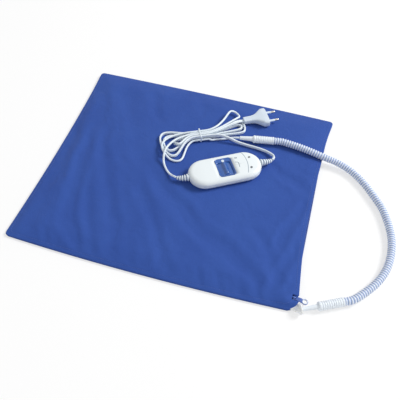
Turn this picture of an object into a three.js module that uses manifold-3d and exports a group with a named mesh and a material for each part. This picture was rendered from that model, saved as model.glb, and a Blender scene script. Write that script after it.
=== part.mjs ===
// A thin fabric heating pad with a switch controller on its cord. The lead leaves the pad at its near right
// corner in a ribbed hose, both cords are wound in one hank, and a two-pin flat plug ends the mains lead.
// Millimetres, +Z up. The origin is the middle of the pad's underside, +X along its long side, +Y away.
import * as THREE from "three";
import { mergeVertices } from "three/addons/utils/BufferGeometryUtils.js";
import Module from "manifold-3d";

const wasm = await Module();
wasm.setup();

const degrees = THREE.MathUtils.degToRad;

// General clearances
const GAP = 0.3; // between pieces that touch
const OVERRUN = 1; // how far a cutter passes a face
const WELD = 0.0001; // vertices nearer than this are one

// Pad outline
const PAD_LENGTH = 400;
const PAD_WIDTH = 350;
const CORNER_RADIUS = 6;
const LEFT_DRAW = 3.7; // how far the left side is drawn in at its middle
const RIGHT_DRAW = 7.5; // the same on the right side, which the zip pulls straight
const NEAR_BULGE = 4.2; // how far the near side swells out
const FAR_BULGE = 1.6;
const NEAR_RIGHT_CUT = 12; // the corner that is drawn in where the lead comes out
const CUT_START_SHARE = 1 / 3;
const CUT_CORNER_SHARES = { along: 0.5, across: 0.2 };
const SIDE_STEPS = 12;
const CORNER_STEPS = 3;

// Pad layers, from the floor up
const COVER_THICKNESS = 1;
const HEM_EXTRA = 0.6; // the lower cover is turned over and thicker along its edge
const HEM_WIDTH = 7;
const CROWN_WIDTH = 28; // the crown rises over this distance from the edge
const CROWN_SHARES = [1, 0.64, 0.4, 0.2, 0.08];
const SHEET_THICKNESS = 0.6;
const FELT_THICKNESS = 1.2;
const WIRE_DIAMETER = 2;
const RIM_HEIGHT = 1.3; // the upper cover's own thickness at its seam
const EDGE_ROUND = 0.6;
const LAYER_INSET = 31; // sheets and felt stay under the crown's flat middle

const SHEET_LOWER_Z = COVER_THICKNESS + GAP;
const FELT_LOWER_Z = SHEET_LOWER_Z + SHEET_THICKNESS + GAP;
const WIRE_Z = FELT_LOWER_Z + FELT_THICKNESS + GAP;
const FELT_UPPER_Z = WIRE_Z + WIRE_DIAMETER + GAP;
const SHEET_UPPER_Z = FELT_UPPER_Z + FELT_THICKNESS + GAP;
const COVER_TOP_Z = SHEET_UPPER_Z + SHEET_THICKNESS + GAP;
const PAD_TOP = COVER_TOP_Z + COVER_THICKNESS;
const HEM_TOP = COVER_THICKNESS + HEM_EXTRA;
const RIM_Z = HEM_TOP + GAP;
const REST_Z = PAD_TOP + GAP; // whatever lies on the pad starts here

// Heating wire
const WIRE_PITCH = 32;
const WIRE_SIDES = 6;
const WIRE_MARGIN = 22; // from the felt's edge
const TURN_STEPS = 5;
const CUTOUT_LENGTH = 18;
const CUTOUT_WIDTH = 6;
const CUTOUT_SHARE = 0.2; // of the pad's length, from its middle

// Zip along the right edge
const ZIP_INSET = 12.8; // the upper cover stops this far from the side's ends
const ZIP_FROM_CORNER = 12;
const ZIP_LENGTH = 219;
const ZIP_SEAM_X = PAD_LENGTH / 2 - ZIP_INSET;
const ZIP_NEAR_Y = ZIP_FROM_CORNER - PAD_WIDTH / 2;
const ZIP_FAR_Y = ZIP_NEAR_Y + ZIP_LENGTH;
const TAPE_THICKNESS = 0.4;
const TAPE_WIDTH = 5.4;
const TOOTH_WIDTH = 3;
const TOOTH_HEIGHT = 1.5;
const TOOTH_PITCH = 3.2;
const TOOTH_FILL_SHARE = 0.55;
const SLIDER_LENGTH = 8;
const SLIDER_WIDTH = 6.2;
const SLIDER_WALL = 0.9;
const SLIDER_NOSE_SHARE = 0.25;
const BAIL_WIDTH = 1.6;
const BAIL_RISE = 2.4;
const BAIL_LEG_INSET = 0.4;
const BAIL_BAR = 0.9;
const BAIL_OUTER_SHARES = { shoulder: 0.75, top: 0.6 };
const BAIL_INNER_SHARES = { shoulder: 0.7, top: 0.4 };
const PULL_LENGTH = 19;
const PULL_THICKNESS = 1.2;
const PULL_WIDTH = 5;
const PULL_RING = 8;
const PULL_HOLE = 5;
const PULL_SKEW = 1.5;
const PULL_EYE_LENGTH = 2.9;
const PULL_RING_TURN = degrees(135);
const PULL_REST = degrees(4); // how far the pull hangs below level

// Lead gland at the near right corner
const GLAND_BEYOND = 3; // past the pad's side, and in from its near side
const GLAND_Z = 7.2;
const GLAND_MOUTH = new THREE.Vector3(PAD_LENGTH / 2 + GLAND_BEYOND, GLAND_BEYOND - PAD_WIDTH / 2, GLAND_Z);
const GLAND_HEADING = degrees(24);
const GLAND_LENGTH = 9.5;
const GLAND_SMALL = 8;
const GLAND_BELL = 13.6;
const GLAND_LIP = 1.2;
const GLAND_NECK_SHARE = 0.75;
const GLAND_FLARE_SHARE = 0.4;
const TONGUE_LENGTH = 16;
const TONGUE_WIDTH = 9;
const TONGUE_THICKNESS = 4;

// Cords: the pad lead is round, the mains lead a flat twin that lies on edge
const PAD_LEAD = 3.2;
const MAINS_THICKNESS = 3;
const MAINS_WIDTH = 5;
const CORD_SIDES = 8;
const HANK_SIDES = 6;

// Hose and its two ferrules
const HOSE_DIAMETER = 11;
const HOSE_VALLEY = 9.4;
const HOSE_BORE = 7.4;
const RIB_PITCH = 3.75;
const RIBS_PER_BORE_RING = 5;
const HOSE_SIDES = 8;
const HOSE_LEAD_STEPS = 30;
const HOSE_REST_Z = 6.4;
const SLEEVE_DIAMETER = 12;
const SLEEVE_RIBS = 6;
const SLEEVE_GROOVE = 0.7;
const SPIGOT_LENGTH = 7;
const SPIGOT_PLAY = 1;
const FERRULE_BORE = PAD_LEAD + 2 * GAP;
const PAD_FERRULE = { neck: 5.3, neckLength: 22.5, sleeveLength: 34 };
const FAR_FERRULE = { neck: 6.5, neckLength: 20.8, sleeveLength: 32 };
const ROUND_SIDES = 20;

// Waist of the hank, where the tie holds it
const WAIST = new THREE.Vector3(4, 71, 0);
const WAIST_HEADING = degrees(27);
const WAIST_HALF = 9;
const COLUMN_PITCH = 3.8;
const TIE_THICKNESS = 0.9;
const TIE_WIDTH = 3;
const LAYER_PLAY = 0.5;
const LAYER_RISE = MAINS_WIDTH + LAYER_PLAY;
const LOWER_Z = REST_Z + TIE_THICKNESS + GAP + MAINS_WIDTH / 2;
const UPPER_Z = LOWER_Z + LAYER_RISE;
const LOBE_STEPS = 12;

// Controller
const CONTROLLER = { x: 58.5, y: 12, heading: degrees(32) };
const BODY_LENGTH = 111;
const BODY_WIDTH = 50;
const PARTING = 8.3;
const DOME = 8;
const SHELL_WALL = 2;
const BODY_END_STEPS = 9;


// Lobes of the hank: how far each reaches from the waist, how wide it spreads and how far it bends aside
const LOBE_A = {
  reach: 52.9,
  spread: 41.42,
  bend: degrees(13.6),
  lean: 0.008,
  blunt: -0.095,
  climb: [0.714, 0.905],
  drop: 1.19,
  dropFrom: 0.138,
};
const LOBE_B = {
  reach: 48.73,
  spread: 24.9,
  bend: degrees(6.9),
  lean: -0.265,
  blunt: 0.035,
  drop: 1.2,
  dropFrom: -0.041,
};
const LOBE_C = {
  reach: 32.76,
  spread: 13.17,
  bend: degrees(16.3),
  lean: -0.049,
  blunt: 0.427,
  climb: [0.384, 0.556],
  drop: 0.61,
  dropFrom: 0.132,
};
const LOBE_E = {
  reach: 57.09,
  spread: 35.59,
  bend: degrees(33.6),
  lean: -0.14,
  blunt: -0.341,
  climb: [0.437, 0.569],
  drop: 1.97,
  dropFrom: 0.017,
};
const LOBE_O = {
  reach: 65.5,
  spread: 18.6,
  bend: degrees(7.4),
  lean: -0.242,
  blunt: 0.56,
  drop: 1.2,
  dropFrom: -0.03,
};
const LOBE_I = {
  reach: 61.15,
  spread: 8.16,
  bend: degrees(8.7),
  lean: -0.062,
  blunt: 0.467,
  drop: 1.2,
  dropFrom: -0.043,
};
const LOBE_T = {
  reach: 69.45,
  spread: 16.19,
  bend: degrees(27.9),
  lean: 0.306,
  blunt: 0.477,
  drop: 6.98,
  dropFrom: 0.703,
};
const TIE_CORNER = 1.5;
const DOME_INSET = 8;
const CROWN_RISE = 0.8;
const BASE_INSET = 6;
const FRAME_CORNER_STEPS = 4;
const RELIEF_BEND_SHARE = 0.35;
const RELIEF_TIP_Z = 16.5;
const RELIEF_LEFT = { side: -1, reach: 16.53, across: 5.5, heading: degrees(168) };
const RELIEF_RIGHT = { side: 1, reach: 18.8, across: 2.27, heading: degrees(58) };
const CLAMP_RISE = 2;
const END_PLAY = 0.25;
const PLUG_ROLL_SHARES = [0.12, 0.38];
const CROWN_LEFT_SHARE = 1 / 3;
const CLIMB_SHARES = [0.3, 0.7]; // where on its way a lobe changes layer
const SWELL_PEAK_SHARE = 0.77;
const DROP_END_SHARE = 0.6;
const DROP_LAG_SHARE = 0.2;
const SHORT_STEPS = 12;
const LONG_STEPS = 18;

// Controller window, thumb switch and lamps
const WINDOW_LENGTH = 24.8; // along the controller
const WINDOW_WIDTH = 32.5;
const WINDOW_SHIFT = -0.5;
const WINDOW_CORNER = 4;
const FRAME_RISE = 0.7; // the frame's rim stands over the dome
const FRAME_BORDER = 4;
const FRAME_DEPTH = 5;
const FRAME_SLOPE = 1.8;
const DOT_BAND = 4.5; // the far border is wider by this, for the dot
const DOT_DIAMETER = 5;
const DOT_THICKNESS = 0.8;
const SWITCH_TRAVEL = 4;
const SWITCH_PLATE = 1.4;
const CREST_LENGTH = 4.4;
const CREST_HEIGHT = 2.4;
const CREST_MARGIN = 1.5;
const CREST_SHOULDER_SHARES = { along: 1 / 3, rise: 0.85 };
const LAMP_DIAMETER = 3.9;
const LAMP_HEIGHT = 3;
const LAMP_RISE = 0.4;
const LENS_SHOULDER_SHARES = { radius: 0.6, rise: 0.8 };
const LAMPS = [
  { name: "lamp_far", fromEnd: 16, across: 8.6 },
  { name: "lamp_near", fromEnd: 18.9, across: -10.8 },
];
const BOARD_FROM_END = 19.5;
const BOARD_LENGTH = BODY_LENGTH - 2 * BOARD_FROM_END;
const BOARD_WIDTH = 30;
const BOARD_THICKNESS = 1.6;
const BOARD_Z = 4.6;
const SHELL_FLOOR = 2.2;
const CONTACT_LENGTH = 14;
const CONTACT_WIDTH = 12;
const CLAMP_LENGTH = 8;
const CLAMP_WIDTH = 14;
const CLAMP_FROM_END = 13.5;

// Strain reliefs of the controller
const RELIEF_BASE = 11;
const RELIEF_TIP = 5.2;
const RELIEF_RIBS = 5;
const RELIEF_GROOVE = 0.8;
const RELIEF_RIB_SHARES = [0, 0.55, 0.6, 0.95];
const RELIEF_NECK = 7.4;
const RELIEF_COLLAR = 8.8;
const RELIEF_SEAT = 7;
const COLLAR_LENGTH = 2;
const RELIEF_SIDES = 12;

// Two-pin flat plug, lying flat on the pad
const PLUG_ENTRY = new THREE.Vector3(61.7, 122, 16.55);
const PLUG_HEADING = degrees(30.5);
const PLUG_LENGTH = 38.5;
const PLUG_WIDTH = 35.3;
const PLUG_HEIGHT = 13.7;
const PLUG_SECTION_POWER = 3.4;
const PLUG_STEPS = 24;
const PLUG_SHARES = [
  { along: 0, width: 0.28, height: 0.62 },
  { along: 0.26, width: 0.32, height: 0.68 },
  { along: 0.42, width: 0.42, height: 0.76 },
  { along: 0.58, width: 0.6, height: 0.86 },
  { along: 0.72, width: 0.8, height: 0.95 },
  { along: 0.84, width: 0.96, height: 1 },
  { along: 0.9, width: 1, height: 1 },
  { along: 0.98, width: 1, height: 1 },
  { along: 1, width: 0.97, height: 0.94 },
];
const PIN_DIAMETER = 4;
const PIN_LENGTH = 17.5;
const PIN_SPACING = 18.6;
const PIN_LEAN = degrees(1.5);
const PIN_SLEEVE = 10;
const PIN_SLEEVE_DIAMETER = 3.8;
const PIN_ROOT = 6;
const PIN_ROUND = 1;
const PIN_SIDES = 14;

// Finishes
function finish(color, roughness, metalness = 0) {
  return new THREE.MeshStandardMaterial({ color, roughness, metalness });
}
const BLUE_CLOTH = finish("#3c56a2", 0.95);
const WHITE_CLOTH = finish("#e4edf2", 0.95);
const BLUE_PLASTIC = finish("#3f63a8", 0.4);
const WHITE_PLASTIC = finish("#f0f6fb", 0.45);
const WHITE_SOFT = finish("#dfeaf3", 0.6);
const METAL = finish("#c8c0b0", 0.3, 0.9);
const GREY_PLASTIC = finish("#9aa3a8", 0.5);
const GREEN_BOARD = finish("#2f6b46", 0.6);

const part = new THREE.Group();

function place(name, geometry, material, parent = part) {
  const mesh = new THREE.Mesh(geometry, material);
  mesh.name = name;
  parent.add(mesh);
  return mesh;
}

// A solid for joining and cutting, from any closed geometry
function solidOf(geometry) {
  const bare = geometry.clone();
  bare.deleteAttribute("normal");
  bare.deleteAttribute("uv");
  const merged = mergeVertices(bare, WELD);
  const vertProperties = new Float32Array(merged.attributes.position.array);
  const triVerts = new Uint32Array(merged.index.array);
  return new wasm.Manifold(new wasm.Mesh({ numProp: 3, vertProperties, triVerts }));
}

function geometryOf(solid) {
  const mesh = solid.getMesh();
  const geometry = new THREE.BufferGeometry();
  geometry.setAttribute("position", new THREE.BufferAttribute(mesh.vertProperties, 3));
  geometry.setIndex(new THREE.BufferAttribute(mesh.triVerts, 1));
  geometry.computeVertexNormals();
  return geometry;
}

function joined(first, ...others) {
  return geometryOf(others.reduce((solid, other) => solid.add(solidOf(other)), solidOf(first)));
}

function cutBy(body, ...cutters) {
  return geometryOf(cutters.reduce((solid, cutter) => solid.subtract(solidOf(cutter)), solidOf(body)));
}

// A box whose corners are given, not its middle
function boxBetween(low, high) {
  const size = new THREE.Vector3(...high).sub(new THREE.Vector3(...low));
  const middle = new THREE.Vector3(...low).add(new THREE.Vector3(...high)).divideScalar(2);
  return new THREE.BoxGeometry(size.x, size.y, size.z).translate(middle.x, middle.y, middle.z);
}

function ringNormal(ring) {
  const normal = new THREE.Vector3();
  ring.forEach((point, place) => normal.add(point.clone().cross(ring[(place + 1) % ring.length])));
  return normal.normalize();
}

// Triangles of a flat cap over one ring, facing the ring's own normal
function capTriangles(ring) {
  const normal = ringNormal(ring);
  const across = ring[1].clone().sub(ring[0]).normalize();
  const up = normal.clone().cross(across);
  const flat = ring.map((point) => new THREE.Vector2(point.dot(across), point.dot(up)));
  return THREE.ShapeUtils.triangulateShape(flat, []);
}

// A closed skin over rings of equal count, with a flat cap on the first and on the last.
// The rings run counter-clockwise about the way from one to the next.
function loft(rings, looped = false) {
  const count = rings[0].length;
  const bands = looped ? rings.length : rings.length - 1;
  const index = [];
  for (let band = 0; band < bands; band += 1) {
    const near = band * count;
    const far = ((band + 1) % rings.length) * count;
    for (let step = 0; step < count; step += 1) {
      const next = (step + 1) % count;
      index.push(near + step, near + next, far + next);
      index.push(near + step, far + next, far + step);
    }
  }
  if (!looped) {
    const last = (rings.length - 1) * count;
    capTriangles(rings[0]).forEach(([a, b, c]) => index.push(c, b, a));
    capTriangles(rings[rings.length - 1]).forEach(([a, b, c]) => index.push(last + a, last + b, last + c));
  }
  const geometry = new THREE.BufferGeometry();
  const positions = rings.flat().flatMap((point) => point.toArray());
  geometry.setAttribute("position", new THREE.Float32BufferAttribute(positions, 3));
  geometry.setIndex(index);
  geometry.computeVertexNormals();
  return geometry;
}

// A route through given points. Its frames stay upright, so a flat cord keeps its wide side vertical,
// and a roll at each point turns it over.
class Route extends THREE.Curve {
  constructor(points, rolls = points.map(() => 0)) {
    super();
    this.points = points;
    this.rolls = rolls;
  }

  getPoint(share) {
    const place = share * (this.points.length - 1);
    const before = Math.min(Math.floor(place), this.points.length - 2);
    return this.points[before].clone().lerp(this.points[before + 1], place - before);
  }

  getSpacedPoints() {
    return this.points;
  }

  computeFrenetFrames() {
    const tangents = this.points.map((point, place) => {
      const before = this.points[Math.max(place - 1, 0)];
      const after = this.points[Math.min(place + 1, this.points.length - 1)];
      const back = point.clone().sub(before).normalize();
      const ahead = after.clone().sub(point).normalize();
      return back.add(ahead).normalize();
    });
    const up = new THREE.Vector3(0, 0, 1);
    const normals = tangents.map((tangent, place) => {
      return up.clone().cross(tangent).normalize().applyAxisAngle(tangent, this.rolls[place]);
    });
    const binormals = tangents.map((tangent, place) => tangent.clone().cross(normals[place]));
    return { tangents, normals, binormals };
  }

  length() {
    return this.points.slice(1).reduce((sum, point, place) => sum + point.distanceTo(this.points[place]), 0);
  }
}

function roundShape(diameter, sides) {
  const corners = Array.from({ length: sides }, (_, side) => {
    const angle = (2 * Math.PI * (side + 0.5)) / sides;
    return new THREE.Vector2(Math.cos(angle), Math.sin(angle)).multiplyScalar(diameter / 2);
  });
  return new THREE.Shape(corners);
}

// The flat twin lead's section, upright, with 8 or 6 corners
function twinShape(sides) {
  const half = MAINS_THICKNESS / 2;
  const top = MAINS_WIDTH / 2;
  const shoulder = top - half / 2;
  const crown = sides === CORD_SIDES ? [[half / 2, top], [-half / 2, top]] : [[0, top]];
  const upper = [[half, shoulder], ...crown, [-half, shoulder]];
  const corners = [...upper, ...upper.map(([x, y]) => [-x, -y])];
  return new THREE.Shape(corners.map(([x, y]) => new THREE.Vector2(x, y)));
}

function tubeThrough(points, shape, rolls) {
  const extrudePath = new Route(points, rolls);
  return new THREE.ExtrudeGeometry(shape, { steps: points.length - 1, extrudePath });
}

function smoothPoints(route, steps) {
  return new THREE.CatmullRomCurve3(route, false, "centripetal").getSpacedPoints(steps);
}

const vectors = (rows) => rows.map(([x, y, z]) => new THREE.Vector3(x, y, z));

const smooth = (share) => {
  const held = Math.min(Math.max(share, 0), 1);
  return held * held * (3 - 2 * held);
};

// Turns a piece made along +X to a heading about Z and a pitch down, and moves it to a point
function aim(geometry, point, heading, pitch = 0) {
  return geometry.rotateY(pitch).rotateZ(heading).translate(point.x, point.y, point.z);
}

// Revolves [along, radius] rows about the X axis
function revolveAlongX(rows, sides = ROUND_SIDES) {
  const profile = rows.map(([along, radius]) => new THREE.Vector2(radius, along));
  return new THREE.LatheGeometry(profile, sides).rotateZ(-Math.PI / 2);
}

// Pad outline

function bowedSide(from, to, bow, power) {
  const along = to.clone().sub(from);
  const out = new THREE.Vector2(along.y, -along.x).normalize();
  return Array.from({ length: SIDE_STEPS + 1 }, (_, step) => {
    const share = step / SIDE_STEPS;
    const swell = bow * (1 - Math.abs(2 * share - 1) ** power);
    return from.clone().addScaledVector(along, share).addScaledVector(out, swell);
  });
}

function padOutline() {
  const halfLength = PAD_LENGTH / 2;
  const halfWidth = PAD_WIDTH / 2;
  const round = CORNER_RADIUS;
  const cut = NEAR_RIGHT_CUT;
  const point = (x, y) => new THREE.Vector2(x, y);
  const cutEnd = point(halfLength - cut * CUT_START_SHARE, cut - halfWidth);
  const sides = [
    bowedSide(point(round - halfLength, -halfWidth), point(halfLength - cut, -halfWidth), NEAR_BULGE, 2),
    bowedSide(cutEnd, point(halfLength, halfWidth - round), -RIGHT_DRAW, 3),
    bowedSide(point(halfLength - round, halfWidth), point(round - halfLength, halfWidth), FAR_BULGE, 2),
    bowedSide(point(-halfLength, halfWidth - round), point(-halfLength, round - halfWidth), -LEFT_DRAW, 2),
  ];
  const corners = [
    point(halfLength - cut * CUT_CORNER_SHARES.along, cut * CUT_CORNER_SHARES.across - halfWidth),
    point(halfLength, halfWidth),
    point(-halfLength, halfWidth),
    point(-halfLength, -halfWidth),
  ];
  return sides.flatMap((side, place) => {
    const next = sides[(place + 1) % sides.length];
    const bend = new THREE.QuadraticBezierCurve(side[SIDE_STEPS], corners[place], next[0]);
    return [...side, ...bend.getPoints(CORNER_STEPS).slice(1, -1)];
  });
}

const PAD_OUTLINE = padOutline();

function padRing(inset, z) {
  const shrinkX = 1 - inset / (PAD_LENGTH / 2);
  const shrinkY = 1 - inset / (PAD_WIDTH / 2);
  return PAD_OUTLINE.map((point) => new THREE.Vector3(point.x * shrinkX, point.y * shrinkY, z));
}

// Height share of the crown at a distance from the edge
const crownShare = (inset) => 1 - (1 - Math.min(inset / CROWN_WIDTH, 1)) ** 3;

function layer(inset, z, thickness) {
  return loft([padRing(inset, z), padRing(inset, z + thickness)]);
}

// Gland: a bell with a flat tongue that is sewn in between the covers

const TONGUE_RISE = RIM_Z + TONGUE_THICKNESS / 2 - GLAND_MOUTH.z;

function tongue(grown) {
  const size = [TONGUE_LENGTH + grown, TONGUE_WIDTH + 2 * grown, TONGUE_THICKNESS + 2 * grown];
  const middle = (grown - TONGUE_LENGTH) / 2 - GLAND_LENGTH + OVERRUN - grown;
  return aim(new THREE.BoxGeometry(...size).translate(middle, 0, TONGUE_RISE), GLAND_MOUTH, GLAND_HEADING);
}

function glandBell() {
  const bell = GLAND_BELL / 2;
  const small = GLAND_SMALL / 2;
  const bore = PAD_FERRULE.neck / 2 + GAP;
  return revolveAlongX([
    [-GLAND_LENGTH, 0],
    [-GLAND_LENGTH, small],
    [-GLAND_LENGTH * GLAND_NECK_SHARE, small],
    [-GLAND_LENGTH * GLAND_FLARE_SHARE, (small + bell) / 2],
    [-GLAND_LIP, bell],
    [0, bell],
    [0, bell - GLAND_LIP],
    [-GLAND_LIP, bore],
    [-GLAND_LENGTH / 2, bore],
    [-GLAND_LENGTH / 2, 0],
  ]);
}

place("gland", joined(aim(glandBell(), GLAND_MOUTH, GLAND_HEADING), tongue(0)), WHITE_PLASTIC);

// Covers

function lowerCover() {
  const skin = loft([
    padRing(EDGE_ROUND, 0),
    padRing(0, EDGE_ROUND),
    padRing(EDGE_ROUND, HEM_TOP),
    padRing(HEM_WIDTH, HEM_TOP),
    padRing(HEM_WIDTH + HEM_EXTRA, COVER_THICKNESS),
  ]);
  return skin;
}

function upperCover() {
  const rise = PAD_TOP - RIM_Z - RIM_HEIGHT;
  const insets = CROWN_SHARES.map((share) => share * CROWN_WIDTH);
  const top = insets.map((inset) => padRing(inset, RIM_Z + RIM_HEIGHT + rise * crownShare(inset)));
  const under = insets.toReversed().map((inset) => {
    const thickness = RIM_HEIGHT + (COVER_THICKNESS - RIM_HEIGHT) * crownShare(inset);
    return padRing(inset, RIM_Z + RIM_HEIGHT + rise * crownShare(inset) - thickness);
  });
  under[0] = padRing(insets[insets.length - 1], RIM_Z);
  const edge = [
    padRing(0, RIM_Z + RIM_HEIGHT - EDGE_ROUND),
    padRing(0, RIM_Z + EDGE_ROUND / 2),
    padRing(EDGE_ROUND, RIM_Z),
  ];
  const skin = loft([...top, ...edge, ...under].toReversed());
  const zipWay = boxBetween(
    [ZIP_SEAM_X, ZIP_NEAR_Y - SLIDER_LENGTH, RIM_Z - GAP / 2],
    [PAD_LENGTH / 2 + OVERRUN, ZIP_FAR_Y + SLIDER_LENGTH / 2, PAD_TOP],
  );
  return cutBy(skin, zipWay, tongue(GAP));
}

place("cover_bottom", lowerCover(), BLUE_CLOTH);
place("cover_top", upperCover(), BLUE_CLOTH);
place("inner_sheet_lower", layer(LAYER_INSET - SHEET_THICKNESS, SHEET_LOWER_Z, SHEET_THICKNESS), WHITE_CLOTH);
place("felt_lower", layer(LAYER_INSET, FELT_LOWER_Z, FELT_THICKNESS), WHITE_CLOTH);
place("felt_upper", layer(LAYER_INSET, FELT_UPPER_Z, FELT_THICKNESS), WHITE_CLOTH);
place("inner_sheet_upper", layer(LAYER_INSET - SHEET_THICKNESS, SHEET_UPPER_Z, SHEET_THICKNESS), WHITE_CLOTH);

// Heating wire, laid to and fro between the felts

function heatingWire() {
  const reach = PAD_LENGTH / 2 - LAYER_INSET - WIRE_MARGIN - WIRE_PITCH / 2;
  const rows = Math.floor((PAD_WIDTH - 2 * LAYER_INSET - WIRE_MARGIN) / WIRE_PITCH);
  const height = WIRE_Z + WIRE_DIAMETER / 2;
  const points = [new THREE.Vector3(-reach, (-(rows - 1) / 2) * WIRE_PITCH, height)];
  for (let row = 0; row < rows; row += 1) {
    const y = (row - (rows - 1) / 2) * WIRE_PITCH;
    const way = row % 2 === 0 ? 1 : -1;
    points.push(new THREE.Vector3(way * reach, y, height));
    for (let step = 1; row < rows - 1 && step <= TURN_STEPS; step += 1) {
      const angle = (Math.PI * step) / TURN_STEPS;
      const out = (WIRE_PITCH / 2) * Math.sin(angle);
      const along = (WIRE_PITCH / 2) * (1 - Math.cos(angle));
      points.push(new THREE.Vector3(way * (reach + out), y + along, height));
    }
  }
  return tubeThrough(points, roundShape(WIRE_DIAMETER, WIRE_SIDES));
}

place("heating_wire", heatingWire(), GREY_PLASTIC);
[["thermal_cutout_left", -1], ["thermal_cutout_right", 1]].forEach(([name, side]) => {
  const cutout = new THREE.BoxGeometry(CUTOUT_LENGTH, CUTOUT_WIDTH, WIRE_DIAMETER);
  const mesh = place(name, cutout, GREY_PLASTIC);
  mesh.position.set(side * PAD_LENGTH * CUTOUT_SHARE, 0, WIRE_Z + WIRE_DIAMETER / 2);
});

// Zip: tape with teeth, a slider that rides on the teeth and its loose pull

const TAPE_X = ZIP_SEAM_X + GAP;
const TAPE_TOP = RIM_Z + TAPE_THICKNESS;
const TOOTH_TOP = TAPE_TOP + TOOTH_HEIGHT;
const CHAIN_X = TAPE_X + TAPE_WIDTH - TOOTH_WIDTH / 2 - GAP;

function zipChain() {
  const length = ZIP_FAR_Y - ZIP_NEAR_Y;
  const teeth = Math.floor(length / TOOTH_PITCH);
  const outline = [new THREE.Vector2(0, -TAPE_THICKNESS / 2)];
  outline.push(new THREE.Vector2(teeth * TOOTH_PITCH, -TAPE_THICKNESS / 2));
  for (let tooth = teeth - 1; tooth >= 0; tooth -= 1) {
    const start = tooth * TOOTH_PITCH;
    const end = start + TOOTH_PITCH * TOOTH_FILL_SHARE;
    outline.push(new THREE.Vector2(end, 0));
    outline.push(new THREE.Vector2(end, TOOTH_HEIGHT));
    outline.push(new THREE.Vector2(start, TOOTH_HEIGHT));
    outline.push(new THREE.Vector2(start, 0));
  }
  outline.pop();
  const plan = new THREE.Shape(outline);
  const comb = new THREE.ExtrudeGeometry(plan, { depth: TOOTH_WIDTH, bevelEnabled: false });
  comb.rotateX(Math.PI / 2).rotateZ(Math.PI / 2);
  comb.translate(CHAIN_X - TOOTH_WIDTH / 2, ZIP_NEAR_Y + TOOTH_PITCH / 2, TAPE_TOP);
  const tape = boxBetween([TAPE_X, ZIP_NEAR_Y, RIM_Z], [TAPE_X + TAPE_WIDTH, ZIP_FAR_Y, TAPE_TOP]);
  return joined(tape, comb);
}

place("zip_chain", zipChain(), BLUE_PLASTIC);

const SLIDER_Y = ZIP_NEAR_Y + SLIDER_LENGTH / 2 + OVERRUN;
const SLIDER_ROOF = TOOTH_TOP + GAP;
const SLIDER_TOP = SLIDER_ROOF + SLIDER_WALL;

function zipSlider() {
  const half = SLIDER_LENGTH / 2;
  const nose = SLIDER_WIDTH * SLIDER_NOSE_SHARE;
  const plan = new THREE.Shape([
    new THREE.Vector2(-SLIDER_WIDTH / 2, half - nose),
    new THREE.Vector2(-SLIDER_WIDTH / 2 + nose / 2, -half),
    new THREE.Vector2(SLIDER_WIDTH / 2 - nose / 2, -half),
    new THREE.Vector2(SLIDER_WIDTH / 2, half - nose),
    new THREE.Vector2(SLIDER_WIDTH / 2 - nose, half),
    new THREE.Vector2(-SLIDER_WIDTH / 2 + nose, half),
  ]);
  const low = TAPE_TOP + GAP;
  const body = new THREE.ExtrudeGeometry(plan, { depth: SLIDER_TOP - low, bevelEnabled: false });
  body.translate(0, 0, low);
  const channel = TOOTH_WIDTH / 2 + GAP;
  const way = boxBetween([-channel, -half - OVERRUN, low - OVERRUN], [channel, half + OVERRUN, SLIDER_ROOF]);
  const leg = SLIDER_WIDTH / 2 - BAIL_LEG_INSET;
  const outer = BAIL_OUTER_SHARES;
  const inner = BAIL_INNER_SHARES;
  const bail = new THREE.Shape([
    new THREE.Vector2(-leg, 0),
    new THREE.Vector2(leg, 0),
    new THREE.Vector2(leg, BAIL_RISE * outer.shoulder),
    new THREE.Vector2(leg * outer.top, BAIL_RISE + BAIL_BAR),
    new THREE.Vector2(-leg * outer.top, BAIL_RISE + BAIL_BAR),
    new THREE.Vector2(-leg, BAIL_RISE * outer.shoulder),
  ]);
  bail.holes.push(new THREE.Path([
    new THREE.Vector2(-leg + BAIL_BAR, GAP),
    new THREE.Vector2(-leg + BAIL_BAR, BAIL_RISE * inner.shoulder),
    new THREE.Vector2(-leg * inner.top, BAIL_RISE),
    new THREE.Vector2(leg * inner.top, BAIL_RISE),
    new THREE.Vector2(leg - BAIL_BAR, BAIL_RISE * inner.shoulder),
    new THREE.Vector2(leg - BAIL_BAR, GAP),
  ]));
  const arch = new THREE.ExtrudeGeometry(bail, { depth: BAIL_WIDTH, bevelEnabled: false });
  arch.rotateX(Math.PI / 2).translate(0, BAIL_WIDTH / 2, SLIDER_TOP - GAP);
  return joined(cutBy(body, way), arch);
}

place("zip_slider", zipSlider(), METAL).position.set(CHAIN_X, SLIDER_Y, 0);

// The pull's end bar lies under the bail, and its eye goes round it. It is made flat about the bar's middle.
const PULL_EYE = (BAIL_RISE - GAP) / 2;

function zipPull() {
  const ringRadius = PULL_RING / 2;
  const middle = PULL_LENGTH - ringRadius;
  const edge = PULL_WIDTH / 2;
  const bar = PULL_THICKNESS / 2;
  const eyeSide = BAIL_WIDTH / 2 + 2 * GAP;
  const outline = new THREE.Shape();
  outline.moveTo(-bar, -edge);
  outline.lineTo(middle - ringRadius, -edge - PULL_SKEW);
  outline.absarc(middle, -PULL_SKEW, ringRadius, -PULL_RING_TURN, PULL_RING_TURN, false);
  outline.lineTo(-bar, edge);
  const eye = new THREE.Path([
    new THREE.Vector2(bar, -eyeSide),
    new THREE.Vector2(bar, eyeSide),
    new THREE.Vector2(bar + PULL_EYE_LENGTH, eyeSide),
    new THREE.Vector2(bar + PULL_EYE_LENGTH, -eyeSide),
  ]);
  const hole = new THREE.Path();
  hole.absarc(middle, -PULL_SKEW, PULL_HOLE / 2, 0, 2 * Math.PI, true);
  outline.holes.push(eye, hole);
  const options = { depth: PULL_THICKNESS, bevelEnabled: false, curveSegments: 14 };
  return new THREE.ExtrudeGeometry(outline, options).translate(0, 0, -PULL_THICKNESS / 2);
}

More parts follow.
